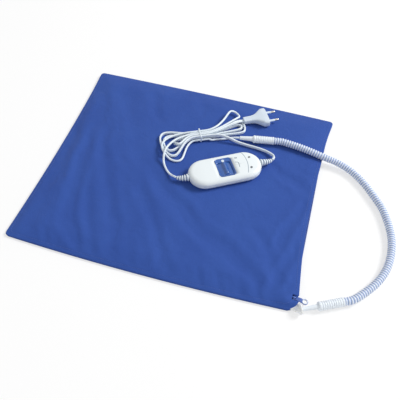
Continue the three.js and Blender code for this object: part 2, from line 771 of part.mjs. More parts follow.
const pull = place("zip_pull", zipPull(), BLUE_PLASTIC);
pull.position.set(CHAIN_X, SLIDER_Y, SLIDER_TOP + PULL_EYE);
pull.rotation.y = PULL_REST;

// Hose: ribs outside, a smooth bore inside, and a ferrule at each end

function ferrule({ neck, neckLength, sleeveLength }) {
  const bore = FERRULE_BORE / 2;
  const sleeve = SLEEVE_DIAMETER / 2;
  const spigot = HOSE_BORE / 2 - SPIGOT_PLAY;
  const rib = sleeveLength / SLEEVE_RIBS;
  const rows = [[0, bore], [0, neck / 2], [neckLength, neck / 2], [neckLength, sleeve]];
  for (let groove = 1; groove < SLEEVE_RIBS; groove += 1) {
    const start = neckLength + groove * rib;
    rows.push([start - SLEEVE_GROOVE, sleeve]);
    rows.push([start - SLEEVE_GROOVE / 2, sleeve - SLEEVE_GROOVE]);
    rows.push([start, sleeve]);
  }
  const end = neckLength + sleeveLength;
  rows.push([end, sleeve], [end, spigot]);
  rows.push([end + SPIGOT_LENGTH, spigot], [end + SPIGOT_LENGTH, bore], [0, bore]);
  return revolveAlongX(rows);
}

const HOSE_END_B = new THREE.Vector3(116.3, 93.8, REST_Z + SLEEVE_DIAMETER / 2);
const HEADING_A = degrees(27.6);
const HEADING_B = degrees(10.3);
function alongHeading(heading, length) {
  return new THREE.Vector3(Math.cos(heading), Math.sin(heading), 0).multiplyScalar(length);
}
const FERRULE_A_START = GLAND_MOUTH.clone().setZ(HOSE_REST_Z);
const HOSE_END_A = FERRULE_A_START.clone().add(
  alongHeading(HEADING_A, PAD_FERRULE.neckLength + PAD_FERRULE.sleeveLength + GAP),
);
const FERRULE_B_START = HOSE_END_B.clone().sub(
  alongHeading(HEADING_B, FAR_FERRULE.neckLength + FAR_FERRULE.sleeveLength + GAP),
);

place("ferrule_pad_end", aim(ferrule(PAD_FERRULE), FERRULE_A_START, HEADING_A), WHITE_SOFT);
place("ferrule_controller_end", aim(ferrule(FAR_FERRULE), FERRULE_B_START, HEADING_B), WHITE_SOFT);

// Hand-chosen route of the hose, from the controller end to the pad end. What lies over the pad's right
// part and beyond it is given from the pad end, in the level.
const fromPadEnd = ([x, y, z]) => new THREE.Vector3(HOSE_END_A.x + x, HOSE_END_A.y + y, z);
const HOSE_ROUTE = [
  HOSE_END_B,
  HOSE_END_B.clone().add(alongHeading(HEADING_B, HOSE_DIAMETER)),
  ...vectors([
    [137.3, 95.2, 15.6],
    [157.4, 92.6, 15.4],
  ]),
  ...[
    [-75.6, 234.7, 14.6],
    [-58.8, 232.3, 12.6],
    [-36.4, 230.3, 9],
    [-13.5, 221.3, 6.6],
    [7.3, 203.2, 6],
    [24, 182.1, 6],
    [36.3, 164.1, 6],
    [45.8, 141.4, 6],
    [51.5, 120.7, 6],
    [53.6, 99.6, 6],
    [51.7, 76, 6],
    [46.3, 56.2, 6],
    [37, 37.7, 6],
    [23.8, 20.1, 6],
  ].map(fromPadEnd),
  HOSE_END_A.clone().add(alongHeading(HEADING_A, HOSE_DIAMETER)),
  HOSE_END_A,
];

function hoseRing(frames, points, place, diameter) {
  return Array.from({ length: HOSE_SIDES }, (_, side) => {
    const angle = (2 * Math.PI * (side + 0.5)) / HOSE_SIDES;
    return points[place]
      .clone()
      .addScaledVector(frames.normals[place], (Math.cos(angle) * diameter) / 2)
      .addScaledVector(frames.binormals[place], (Math.sin(angle) * diameter) / 2);
  });
}

function hose() {
  const curve = new THREE.CatmullRomCurve3(HOSE_ROUTE, false, "centripetal");
  const ribs = Math.round(curve.getLength() / RIB_PITCH / RIBS_PER_BORE_RING) * RIBS_PER_BORE_RING;
  const points = curve.getSpacedPoints(2 * ribs);
  const frames = new Route(points).computeFrenetFrames();
  const outside = points.map((_, place) => {
    return hoseRing(frames, points, place, place % 2 ? HOSE_DIAMETER : HOSE_VALLEY);
  });
  const bore = [];
  for (let place = points.length - 1; place >= 0; place -= 2 * RIBS_PER_BORE_RING) {
    bore.push(hoseRing(frames, points, place, HOSE_BORE));
  }
  return loft([...outside, ...bore], true);
}

place("hose", hose(), WHITE_SOFT);

function hoseLead() {
  const inside = smoothPoints(HOSE_ROUTE, HOSE_LEAD_STEPS);
  const points = [FERRULE_B_START, ...inside, FERRULE_A_START];
  return tubeThrough(points, roundShape(PAD_LEAD, HANK_SIDES));
}

place("hose_lead", hoseLead(), WHITE_SOFT);

// Hank: columns of strands side by side at the waist, in two layers, with lobes on both sides

const waistAlong = new THREE.Vector3(Math.cos(WAIST_HEADING), Math.sin(WAIST_HEADING), 0);
const waistAcross = new THREE.Vector3(-Math.sin(WAIST_HEADING), Math.cos(WAIST_HEADING), 0);

// A strand's place at one end of the waist. Columns count from the near side, and side is -1 left or 1 right.
function slot(column, z, side) {
  return WAIST.clone()
    .addScaledVector(waistAlong, side * WAIST_HALF)
    .addScaledVector(waistAcross, column * COLUMN_PITCH)
    .setZ(z);
}

const LOWER = { outer: 2, second: 1, middle: 0, fourth: -1, inner: -2 };
const UPPER = { outer: 1.5, second: 0.5, third: -0.5, inner: -1.5 };

// One lobe from slot to slot: it leaves the waist straight, swells to its spread and folds at its reach.
function lobe({ from, to, side, reach, spread, bend, lean, blunt, climb = CLIMB_SHARES, drop, dropFrom }) {
  const start = slot(from.column, from.z, side);
  const end = slot(to.column, to.z, side);
  const turn = Math.sign(from.column - to.column);
  return Array.from({ length: LOBE_STEPS + 1 }, (_, step) => {
    const share = step / LOBE_STEPS;
    const sine = Math.sin(Math.PI * share);
    const out = sine * (1 + blunt - blunt * sine);
    const swell = (Math.sin(2 * Math.PI * share) * sine) / SWELL_PEAK_SHARE;
    const heading = WAIST_HEADING + bend * out * (2 - out);
    const along = new THREE.Vector3(Math.cos(heading), Math.sin(heading), 0);
    const across = new THREE.Vector3(-Math.sin(heading), Math.cos(heading), 0);
    const height = from.z + (to.z - from.z) * smooth((share - climb[0]) / (climb[1] - climb[0]));
    return start
      .clone()
      .lerp(end, smooth(share))
      .addScaledVector(along, side * reach * out)
      .addScaledVector(across, turn * (spread / 2) * (swell + lean * out * out))
      .setZ(height - drop * smooth((sine - dropFrom) / (DROP_END_SHARE - dropFrom * DROP_LAG_SHARE)));
  });
}

const at = (column, z) => ({ column, z });

// The mains lead's turns, in order from the plug to the controller
const MAINS_LOBES = [
  lobe({ from: at(UPPER.third, UPPER_Z), to: at(LOWER.middle, LOWER_Z), side: -1, ...LOBE_C }),
  lobe({ from: at(LOWER.middle, LOWER_Z), to: at(LOWER.second, LOWER_Z), side: 1, ...LOBE_I }),
  lobe({ from: at(LOWER.second, LOWER_Z), to: at(LOWER.fourth, LOWER_Z), side: -1, ...LOBE_B }),
  lobe({ from: at(LOWER.fourth, LOWER_Z), to: at(LOWER.outer, LOWER_Z), side: 1, ...LOBE_O }),
  lobe({ from: at(LOWER.outer, LOWER_Z), to: at(UPPER.inner, UPPER_Z), side: -1, ...LOBE_A }),
];
const PAD_LOBES = [
  lobe({ from: at(LOWER.inner, LOWER_Z), to: at(UPPER.outer, UPPER_Z), side: -1, ...LOBE_E }),
  lobe({ from: at(UPPER.outer, UPPER_Z), to: at(UPPER.second, UPPER_Z), side: 1, ...LOBE_T }),
];

// Runs through the lobes, with a point halfway along each pass of the waist
function hankPoints(entry, lobes, exit) {
  const stops = [entry, ...lobes.flat(), exit];
  return stops.flatMap((point, place) => {
    const next = stops[place + 1];
    const crossesWaist = place % (LOBE_STEPS + 1) === 0 && next !== undefined;
    return crossesWaist ? [point, point.clone().lerp(next, 0.5)] : [point];
  });
}

const mainsEntry = slot(UPPER.third, UPPER_Z, 1);
const mainsExit = slot(UPPER.inner, UPPER_Z, 1);
const padEntry = slot(LOWER.inner, LOWER_Z, 1);
const padExit = slot(UPPER.second, UPPER_Z, -1);
const MAINS_HANK = hankPoints(mainsEntry, MAINS_LOBES, mainsExit);
const PAD_HANK = hankPoints(padEntry, PAD_LOBES, padExit);

place("mains_lead_hank", tubeThrough(MAINS_HANK, twinShape(HANK_SIDES)), WHITE_SOFT);
place("pad_lead_hank", tubeThrough(PAD_HANK, roundShape(PAD_LEAD, HANK_SIDES)), WHITE_SOFT);

// Free stretches. The first or last point of each is a seat, and the rest of the route is chosen by hand.

function stretch(name, route, steps, shape, rollAt = upright) {
  const points = [route[0], ...smoothPoints(route.slice(1, -1), steps), route[route.length - 1]];
  const rolls = points.map((point, place) => rollAt(place / (points.length - 1)));
  place(name, tubeThrough(points, shape, rolls), WHITE_SOFT);
  return points;
}

// The mains lead lies flat where it leaves the plug and turns upright on its way to the waist
const upright = () => 0;
const flatAtPlug = (share) => {
  const [from, to] = PLUG_ROLL_SHARES;
  return (Math.PI / 2) * (1 - smooth((share - from) / (to - from)));
};

const waistExit = (point, side) => point.clone().addScaledVector(waistAlong, side * (GAP + END_PLAY));
const roundSection = roundShape(PAD_LEAD, CORD_SIDES);
const twinSection = twinShape(CORD_SIDES);

const PLUG_SEAT = PLUG_ENTRY.clone().sub(alongHeading(PLUG_HEADING, GAP));
const MAINS_PLUG_ROUTE = [
  PLUG_SEAT,
  PLUG_SEAT.clone().sub(alongHeading(PLUG_HEADING, MAINS_THICKNESS)),
  ...vectors([
    [56.6, 117.5, 18.5],
    [49.5, 110.4, 18.9],
    [40, 99.6, 18.9],
    [30, 87.6, 18.9],
    [21.5, 79.4, UPPER_Z],
  ]),
  waistExit(mainsEntry, 1).addScaledVector(waistAlong, MAINS_WIDTH / 2),
  waistExit(mainsEntry, 1),
];
function reliefTip({ side, reach, across }) {
  const tip = alongHeading(CONTROLLER.heading, side * (BODY_LENGTH / 2 + reach));
  tip.add(alongHeading(CONTROLLER.heading + Math.PI / 2, across));
  return tip.add(new THREE.Vector3(CONTROLLER.x, CONTROLLER.y, RELIEF_TIP_Z));
}

const cordAt = (relief, beyond) => reliefTip(relief).add(alongHeading(relief.heading, GAP + beyond));
const MAINS_CONTROLLER_ROUTE = [
  waistExit(mainsExit, 1),
  waistExit(mainsExit, 1).addScaledVector(waistAlong, MAINS_WIDTH),
  ...vectors([
    [33, 77.5, UPPER_Z],
    [48, 77.2, 17.6],
    [62, 76.2, 14],
    [76, 75.6, 12.4],
    [92, 74.6, 12.3],
    [106, 72.2, 12.6],
    [115.5, 68.2, 13.6],
    [121, 63.8, 14.8],
  ]),
  cordAt(RELIEF_RIGHT, MAINS_WIDTH),
  cordAt(RELIEF_RIGHT, 0),
];
const PAD_HOSE_ROUTE = [
  FERRULE_B_START.clone().sub(alongHeading(HEADING_B, GAP)),
  FERRULE_B_START.clone().sub(alongHeading(HEADING_B, PAD_LEAD)),
  ...vectors([
    [52, 83.2, 13],
    [41.5, 79.2, 11.6],
    [31, 74.6, 11.8],
    [22.5, 70, 12.6],
  ]),
  waistExit(padEntry, 1).addScaledVector(waistAlong, PAD_LEAD),
  waistExit(padEntry, 1),
];
const PAD_CONTROLLER_ROUTE = [
  waistExit(padExit, -1),
  waistExit(padExit, -1).addScaledVector(waistAlong, -PAD_LEAD),
  ...vectors([
    [-19.5, 57, 18.9],
    [-28.5, 46, 20],
    [-33.8, 33.5, 20.6],
    [-35.8, 22, 21.2],
    [-35.6, 13, 18.4],
    [-32.8, 3.5, 13.4],
    [-26, -6.5, 11.7],
    [-18, -15, 13.2],
    [-12.6, -18.8, 15],
  ]),
  cordAt(RELIEF_LEFT, PAD_LEAD),
  cordAt(RELIEF_LEFT, 0),
];
const STRETCHES = {
  mains_lead_plug_stretch: stretch(
    "mains_lead_plug_stretch",
    MAINS_PLUG_ROUTE,
    SHORT_STEPS,
    twinSection,
    flatAtPlug,
  ),
  mains_lead_controller_stretch: stretch(
    "mains_lead_controller_stretch",
    MAINS_CONTROLLER_ROUTE,
    LONG_STEPS,
    twinSection,
  ),
  pad_lead_hose_stretch: stretch(
    "pad_lead_hose_stretch",
    PAD_HOSE_ROUTE,
    SHORT_STEPS,
    roundSection,
  ),
  pad_lead_controller_stretch: stretch(
    "pad_lead_controller_stretch",
    PAD_CONTROLLER_ROUTE,
    LONG_STEPS,
    roundSection,
  ),
};

// Tie round the waist
const tieMiddle = (LOWER_Z + UPPER_Z) / 2;
const tieHalfWidth = LOWER.outer * COLUMN_PITCH + MAINS_THICKNESS / 2 + GAP;
const tieHalfHeight = (UPPER_Z - LOWER_Z + MAINS_WIDTH) / 2 + GAP;

function roundedBox(halfWidth, halfHeight, radius, Kind = THREE.Shape) {
  const shape = new Kind();
  shape.moveTo(halfWidth - radius, -halfHeight);
  shape.absarc(halfWidth - radius, radius - halfHeight, radius, -Math.PI / 2, 0, false);
  shape.absarc(halfWidth - radius, halfHeight - radius, radius, 0, Math.PI / 2, false);
  shape.absarc(radius - halfWidth, halfHeight - radius, radius, Math.PI / 2, Math.PI, false);
  shape.absarc(radius - halfWidth, radius - halfHeight, radius, Math.PI, Math.PI * 1.5, false);
  return shape;
}

function cordTie() {
  const band = roundedBox(
    tieHalfWidth + TIE_THICKNESS,
    tieHalfHeight + TIE_THICKNESS,
    TIE_CORNER + TIE_THICKNESS,
  );
  band.holes.push(roundedBox(tieHalfWidth, tieHalfHeight, TIE_CORNER, THREE.Path));
  const options = { depth: TIE_WIDTH, bevelEnabled: false, curveSegments: 4 };
  const ring = new THREE.ExtrudeGeometry(band, options).translate(0, 0, -TIE_WIDTH / 2);
  ring.rotateX(Math.PI / 2).rotateZ(Math.PI / 2);
  return ring.rotateZ(WAIST_HEADING).translate(WAIST.x, WAIST.y, tieMiddle);
}

place("cord_tie", cordTie(), WHITE_SOFT);

// Least gap of the wound cords to themselves and to each other, on points of their routes.
// A section is taken as an upright box: a gap is the larger of the level and the vertical one.
function densePoints(points, spacing) {
  return points.slice(1).flatMap((point, place) => {
    const before = points[place];
    const count = Math.ceil(point.distanceTo(before) / spacing);
    return Array.from({ length: count }, (_, step) => before.clone().lerp(point, step / count));
  });
}

function gauge(points, width, height, rollAt = upright) {
  const dense = densePoints(points, GAUGE_STEP);
  const marks = dense.map((point, place) => {
    const roll = rollAt(place / dense.length);
    const wide = Math.abs(width * Math.cos(roll)) + Math.abs(height * Math.sin(roll));
    const high = Math.abs(height * Math.cos(roll)) + Math.abs(width * Math.sin(roll));
    return { point, wide, high };
  });
  return { marks: marks.slice(GAUGE_SKIP, -GAUGE_SKIP), height };
}

function leastGap(one, other) {
  const same = one === other;
  const skip = same ? Math.ceil((3 * one.height) / GAUGE_STEP) : 0;
  let least = Infinity;
  let where = null;
  one.marks.forEach((near, first) => {
    other.marks.forEach((far, second) => {
      if (same && second - first <= skip) {
        return;
      }
      const apart = Math.hypot(near.point.x - far.point.x, near.point.y - far.point.y);
      const level = apart - (near.wide + far.wide) / 2;
      const vertical = Math.abs(near.point.z - far.point.z) - (near.high + far.high) / 2;
      if (Math.max(level, vertical) < least) {
        least = Math.max(level, vertical);
        where = near.point;
      }
    });
  });
  return { least, where };
}

const GAUGE_STEP = 1;
const GAUGE_SKIP = 4;
const GAUGE_SHOWN = 2;
const GAUGED = {
  mains_hank: gauge(MAINS_HANK, MAINS_THICKNESS, MAINS_WIDTH),
  pad_hank: gauge(PAD_HANK, PAD_LEAD, PAD_LEAD),
  plug_stretch: gauge(STRETCHES.mains_lead_plug_stretch, MAINS_THICKNESS, MAINS_WIDTH, flatAtPlug),
  mains_controller: gauge(STRETCHES.mains_lead_controller_stretch, MAINS_THICKNESS, MAINS_WIDTH),
  pad_hose: gauge(STRETCHES.pad_lead_hose_stretch, PAD_LEAD, PAD_LEAD),
  pad_controller: gauge(STRETCHES.pad_lead_controller_stretch, PAD_LEAD, PAD_LEAD),
};
const gaugedNames = Object.keys(GAUGED);
gaugedNames.forEach((name, first) => {
  gaugedNames.slice(first).forEach((other) => {
    const { least, where } = leastGap(GAUGED[name], GAUGED[other]);
    if (least < GAUGE_SHOWN) {
      const spot = where.toArray().map((value) => value.toFixed(0));
      console.log(`least gap of ${name} to ${other}: ${least.toFixed(2)} mm near ${spot}`);
    }
  });
});

// Controller: two half shells that meet at the parting line. Its own frame has X along it and Z up.

const controller = new THREE.Group();
controller.position.set(CONTROLLER.x, CONTROLLER.y, REST_Z);
controller.rotation.z = CONTROLLER.heading;
part.add(controller);

function bodyRing(inset, z) {
  const straight = (BODY_LENGTH - BODY_WIDTH) / 2;
  const radius = BODY_WIDTH / 2 - inset;
  const ends = [-Math.PI / 2, Math.PI / 2];
  return ends.flatMap((start, end) =>
    Array.from({ length: BODY_END_STEPS + 1 }, (_, step) => {
      const angle = start + (Math.PI * step) / BODY_END_STEPS;
      const middle = end === 0 ? straight : -straight;
      return new THREE.Vector3(middle + radius * Math.cos(angle), radius * Math.sin(angle), z);
    }),
  );
}

// Insets and heights of a quarter round, from the rim to the face
const roundShares = [0, 0.25, 0.5, 0.75, 1];
const quarter = (inset, rise) => roundShares.map((share) => {
  const angle = (share * Math.PI) / 2;
  return { inset: inset * (1 - Math.cos(angle)), z: rise * Math.sin(angle) };
});

const BODY_TOP = PARTING + DOME;

function upperShell() {
  const outside = quarter(DOME_INSET, DOME - CROWN_RISE).map(({ inset, z }) => bodyRing(inset, PARTING + z));
  const crown = bodyRing(DOME_INSET * 2, BODY_TOP - CROWN_RISE * CROWN_LEFT_SHARE);
  const inside = quarter(DOME_INSET, DOME - CROWN_RISE - SHELL_WALL)
    .map(({ inset, z }) => bodyRing(inset + SHELL_WALL, PARTING + z))
    .toReversed();
  const peak = bodyRing(BODY_WIDTH / 2 - SHELL_WALL, BODY_TOP);
  return loft([peak, crown, ...outside.toReversed(), ...inside.toReversed()].toReversed());
}

function lowerShell() {
  const depth = PARTING - GAP;
  const outside = quarter(BASE_INSET, depth).map(({ inset, z }) => bodyRing(inset, depth - z)).toReversed();
  const inside = quarter(BASE_INSET, depth - SHELL_WALL).map(({ inset, z }) => {
    return bodyRing(inset + SHELL_WALL, depth - z);
  });
  return loft([...outside, ...inside]);
}

// The hole in both shells where a strain relief's neck passes
function neckCutter(side) {
  const length = RELIEF_SEAT * 2;
  const radius = RELIEF_NECK / 2 + GAP;
  const cutter = new THREE.CylinderGeometry(radius, radius, length, ROUND_SIDES);
  return cutter.rotateZ(Math.PI / 2).translate(side * (BODY_LENGTH / 2), 0, PARTING);
}

function roundedBlock(length, width, corner, low, high) {
  const plan = roundedBox(length / 2, width / 2, corner);
  const options = { depth: high - low, bevelEnabled: false, curveSegments: 4 };
  return new THREE.ExtrudeGeometry(plan, options).translate(WINDOW_SHIFT, 0, low);
}

const FRAME_TOP = BODY_TOP + FRAME_RISE;
const FRAME_LOW = FRAME_TOP - FRAME_DEPTH;
const windowCutter = roundedBlock(
  WINDOW_LENGTH + GAP,
  WINDOW_WIDTH + GAP,
  WINDOW_CORNER,
  PARTING - OVERRUN,
  FRAME_TOP,
);
const lampX = ({ fromEnd }) => BODY_LENGTH / 2 - fromEnd;
const lampCutters = LAMPS.map((lamp) => {
  const radius = LAMP_DIAMETER / 2 + GAP;
  const cutter = new THREE.CylinderGeometry(radius, radius, DOME * 2, ROUND_SIDES);
  return cutter.rotateX(Math.PI / 2).translate(lampX(lamp), lamp.across, BODY_TOP);
});
const necks = [neckCutter(-1), neckCutter(1)];

place("housing_lower", cutBy(lowerShell(), ...necks), WHITE_PLASTIC, controller);
const upper = cutBy(upperShell(), ...necks, windowCutter, ...lampCutters);
place("housing_upper", upper, WHITE_PLASTIC, controller);

// Window frame with sloping borders. The far border is wider and carries the dot.
const OPENING_LENGTH = WINDOW_LENGTH - 2 * FRAME_BORDER;
const OPENING_WIDTH = WINDOW_WIDTH - 2 * FRAME_BORDER - DOT_BAND;
const OPENING_Y = -DOT_BAND / 2;

function frameRing(length, width, y, z) {
  const plan = roundedBox(length / 2, width / 2, WINDOW_CORNER - FRAME_RISE).getPoints(FRAME_CORNER_STEPS);
  return plan.slice(0, -1).map((point) => new THREE.Vector3(point.x + WINDOW_SHIFT, point.y + y, z));
}

function windowFrame() {
  const outer = [WINDOW_LENGTH - GAP, WINDOW_WIDTH - GAP, 0];
  const lip = [WINDOW_LENGTH - 2 * FRAME_RISE, WINDOW_WIDTH - 2 * FRAME_RISE, 0];
  const opening = [OPENING_LENGTH, OPENING_WIDTH, OPENING_Y];
  return loft(
    [
      frameRing(...outer, FRAME_LOW),
      frameRing(...outer, FRAME_TOP - FRAME_RISE),
      frameRing(...lip, FRAME_TOP),
      frameRing(...opening, FRAME_TOP - FRAME_SLOPE),
      frameRing(...opening, FRAME_LOW),
    ],
    true,
  );
}

const DOT_Y = (WINDOW_WIDTH / 2 + OPENING_Y + OPENING_WIDTH / 2) / 2;
const DOT_LOW = FRAME_TOP - FRAME_SLOPE - DOT_THICKNESS;
const dotAt = (diameter, low, high) => {
  const disc = new THREE.CylinderGeometry(diameter / 2, diameter / 2, high - low, ROUND_SIDES);
  return disc.rotateX(Math.PI / 2).translate(WINDOW_SHIFT, DOT_Y, (low + high) / 2);
};
const dotPocket = dotAt(DOT_DIAMETER + 2 * GAP, DOT_LOW - GAP, FRAME_TOP + OVERRUN);
place("switch_window", cutBy(windowFrame(), dotPocket), BLUE_PLASTIC, controller);
place("position_dot", dotAt(DOT_DIAMETER, DOT_LOW, FRAME_TOP - GAP), WHITE_PLASTIC, controller);

// Thumb switch: a plate that closes the window from below, with a crest across it
function thumbSwitch() {
  const high = FRAME_LOW - GAP;
  const reach = OPENING_LENGTH + 2 * SWITCH_TRAVEL + 2 * GAP;
  const plate = boxBetween(
    [-reach / 2, OPENING_Y - OPENING_WIDTH / 2 - GAP, high - SWITCH_PLATE],
    [reach / 2, OPENING_Y + OPENING_WIDTH / 2 + GAP, high],
  );
  const crestTop = FRAME_TOP - FRAME_SLOPE + CREST_HEIGHT - high;
  const shoulder = CREST_SHOULDER_SHARES;
  const crest = new THREE.Shape([
    new THREE.Vector2(-CREST_LENGTH, -SWITCH_PLATE / 2),
    new THREE.Vector2(CREST_LENGTH, -SWITCH_PLATE / 2),
    new THREE.Vector2(CREST_LENGTH * shoulder.along, crestTop * shoulder.rise),
    new THREE.Vector2(0, crestTop),
    new THREE.Vector2(-CREST_LENGTH * shoulder.along, crestTop * shoulder.rise),
  ]);
  const width = OPENING_WIDTH - 2 * CREST_MARGIN;
  const ridge = new THREE.ExtrudeGeometry(crest, { depth: width, bevelEnabled: false });
  ridge.rotateX(Math.PI / 2).translate(0, OPENING_Y + width / 2, high);
  return joined(plate, ridge);
}

place("switch_slider", thumbSwitch(), BLUE_PLASTIC, controller).position.x = WINDOW_SHIFT;

LAMPS.forEach((lamp) => {
  const radius = LAMP_DIAMETER / 2;
  const inset = BODY_WIDTH / 2 - Math.abs(lamp.across);
  const share = Math.min(inset / DOME_INSET, 1);
  const face = PARTING + (DOME - CROWN_RISE) * Math.sqrt(1 - (1 - share) ** 2) + CROWN_RISE / 2;
  const lens = new THREE.LatheGeometry(
    [
      new THREE.Vector2(0, -LAMP_HEIGHT),
      new THREE.Vector2(radius, -LAMP_HEIGHT),
      new THREE.Vector2(radius, 0),
      new THREE.Vector2(radius * LENS_SHOULDER_SHARES.radius, LAMP_RISE * LENS_SHOULDER_SHARES.rise),
      new THREE.Vector2(0, LAMP_RISE),
    ],
    ROUND_SIDES,
  );
  const fitted = place(lamp.name, lens.rotateX(Math.PI / 2), GREY_PLASTIC, controller);
  fitted.position.set(lampX(lamp), lamp.across, face);
});

// Inside the controller
const BOARD_TOP = BOARD_Z + BOARD_THICKNESS;
place(
  "circuit_board",
  boxBetween([-BOARD_LENGTH / 2, -BOARD_WIDTH / 2, BOARD_Z], [BOARD_LENGTH / 2, BOARD_WIDTH / 2, BOARD_TOP]),
  GREEN_BOARD,
  controller,
);
place(
  "switch_contacts",
  boxBetween(
    [-CONTACT_LENGTH / 2, OPENING_Y - CONTACT_WIDTH / 2, BOARD_TOP + GAP],
    [CONTACT_LENGTH / 2, OPENING_Y + CONTACT_WIDTH / 2, FRAME_LOW - 2 * GAP - SWITCH_PLATE],
  ),
  GREY_PLASTIC,
  controller,
);

// Strain reliefs: a collar inside, a neck through the wall, then a ribbed cone that bends with its cord

function relief(shape) {
  const { side, heading } = shape;
  const tip = reliefTip(shape);
  const seat = BODY_LENGTH / 2 - RELIEF_SEAT;
  const local = controller.worldToLocal(tip.clone());
  const mouth = new THREE.Vector3(side * (BODY_LENGTH / 2 + GAP), 0, PARTING);
  const straight = new THREE.Vector3(side, 0, 0);
  const pull = mouth.distanceTo(local) * RELIEF_BEND_SHARE;
  const outward = mouth.clone().addScaledVector(straight, pull);
  const inward = controller.worldToLocal(tip.clone().add(alongHeading(heading, -pull)));
  const bend = new THREE.CubicBezierCurve3(mouth, outward, inward, local);
  const rings = [];
  const add = (point, tangent, diameter) => {
    const normal = new THREE.Vector3(0, 0, 1).cross(tangent).normalize();
    const upward = tangent.clone().cross(normal);
    rings.push(Array.from({ length: RELIEF_SIDES }, (_, step) => {
      const angle = (2 * Math.PI * step) / RELIEF_SIDES;
      return point
        .clone()
        .addScaledVector(normal, (diameter / 2) * Math.cos(angle))
        .addScaledVector(upward, (diameter / 2) * Math.sin(angle));
    }));
  };
  const inside = (length) => new THREE.Vector3(side * (seat + length), 0, PARTING);
  add(inside(-COLLAR_LENGTH), straight, RELIEF_COLLAR);
  add(inside(0), straight, RELIEF_COLLAR);
  add(inside(0), straight, RELIEF_NECK);
  add(mouth, straight, RELIEF_NECK);
  for (let rib = 0; rib < RELIEF_RIBS; rib += 1) {
    RELIEF_RIB_SHARES.forEach((share, place) => {
      const along = (rib + share) / RELIEF_RIBS;
      const full = RELIEF_BASE + (RELIEF_TIP - RELIEF_BASE) * along;
      const diameter = place < 2 ? full : full - 2 * RELIEF_GROOVE;
      add(bend.getPoint(along), bend.getTangent(along), diameter);
    });
  }
  add(local, bend.getTangent(1), RELIEF_TIP - 2 * RELIEF_GROOVE);
  return loft(rings);
}

controller.updateMatrixWorld(true);
place("relief_left", relief(RELIEF_LEFT), WHITE_SOFT, controller);
place("relief_right", relief(RELIEF_RIGHT), WHITE_SOFT, controller);

// Clamps that hold each lead on the board side of its relief
[["cord_clamp_left", -1], ["cord_clamp_right", 1]].forEach(([name, side]) => {
  const clamp = new THREE.BoxGeometry(CLAMP_LENGTH, CLAMP_WIDTH, PARTING + CLAMP_RISE - SHELL_FLOOR - GAP);
  const mesh = place(name, clamp, WHITE_PLASTIC, controller);
  const height = (PARTING + CLAMP_RISE + SHELL_FLOOR + GAP) / 2;
  mesh.position.set(side * (BODY_LENGTH / 2 - CLAMP_FROM_END), 0, height);
});

// Plug: a flat body that swells from the collar to the face, with two round pins side by side
const plug = new THREE.Group();
plug.position.copy(PLUG_ENTRY);
plug.rotation.z = PLUG_HEADING;
part.add(plug);

function plugRing({ along, width, height }) {
  const power = 2 / PLUG_SECTION_POWER;
  return Array.from({ length: PLUG_STEPS }, (_, step) => {
    const angle = (2 * Math.PI * step) / PLUG_STEPS;
    const bulge = (value) => Math.sign(value) * Math.abs(value) ** power;
    const across = (bulge(Math.cos(angle)) * width * PLUG_WIDTH) / 2;
    const upward = (bulge(Math.sin(angle)) * height * PLUG_HEIGHT) / 2;
    return new THREE.Vector3(along * PLUG_LENGTH, across, upward);
  });
}

const pinAt = (side) => (side * PIN_SPACING) / 2;

function pinHole(side) {
  const radius = PIN_DIAMETER / 2 + GAP;
  const hole = new THREE.CylinderGeometry(radius, radius, 2 * (PIN_ROOT + GAP), PIN_SIDES);
  return hole.rotateZ(Math.PI / 2 - side * PIN_LEAN).translate(PLUG_LENGTH, pinAt(side), 0);
}

place("plug_body", cutBy(loft(PLUG_SHARES.map(plugRing)), pinHole(-1), pinHole(1)), WHITE_SOFT, plug);

function pin() {
  const radius = PIN_DIAMETER / 2;
  const sleeve = PIN_SLEEVE_DIAMETER / 2;
  return revolveAlongX([
    [-PIN_ROOT, 0],
    [-PIN_ROOT, radius],
    [0, radius],
    [0, sleeve],
    [PIN_SLEEVE, sleeve],
    [PIN_SLEEVE, radius],
    [PIN_LENGTH - PIN_ROUND, radius],
    [PIN_LENGTH, radius - PIN_ROUND],
    [PIN_LENGTH, 0],
  ], PIN_SIDES);
}

[["plug_pin_left", 1], ["plug_pin_right", -1]].forEach(([name, side]) => {
  const fitted = place(name, pin(), METAL, plug);
  fitted.position.set(PLUG_LENGTH, pinAt(side), 0);
  fitted.rotation.z = -side * PIN_LEAN;
});

export default part;
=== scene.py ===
import math

import bmesh
import bpy
from mathutils import Matrix, Vector, kdtree, noise


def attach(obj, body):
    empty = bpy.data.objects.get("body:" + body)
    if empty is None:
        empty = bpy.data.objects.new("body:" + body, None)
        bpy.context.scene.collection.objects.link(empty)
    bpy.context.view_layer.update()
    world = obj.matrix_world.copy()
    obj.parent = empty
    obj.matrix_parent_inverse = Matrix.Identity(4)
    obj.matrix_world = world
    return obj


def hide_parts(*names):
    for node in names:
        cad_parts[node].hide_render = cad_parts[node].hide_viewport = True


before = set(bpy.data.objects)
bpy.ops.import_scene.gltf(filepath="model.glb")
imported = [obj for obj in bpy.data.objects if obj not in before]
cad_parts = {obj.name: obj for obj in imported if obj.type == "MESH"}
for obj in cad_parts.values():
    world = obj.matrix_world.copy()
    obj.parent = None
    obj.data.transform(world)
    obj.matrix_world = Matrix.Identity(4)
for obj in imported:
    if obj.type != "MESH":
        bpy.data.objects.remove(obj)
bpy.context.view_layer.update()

# Camera and studio. The pad lies on a white table and is seen from above its near side, a little to the
# right. The camera was solved from the pad's corners and the controller's edges. The light is soft and comes
# from the far right.
bpy.context.scene.view_settings.view_transform = "Standard"
to_right = Vector((0.96228141, 0.26974494, 0.03538595))
to_bottom = Vector((0.23445406, -0.75625557, -0.61082633))
ahead = Vector((-0.13800649, 0.5960832, -0.79097347))
camera = bpy.data.objects.new("camera", bpy.data.cameras.new("camera"))
camera.data.sensor_width = 36
camera.data.lens = 49.05
turned = Matrix((to_right, -to_bottom, -ahead)).transposed().to_4x4()
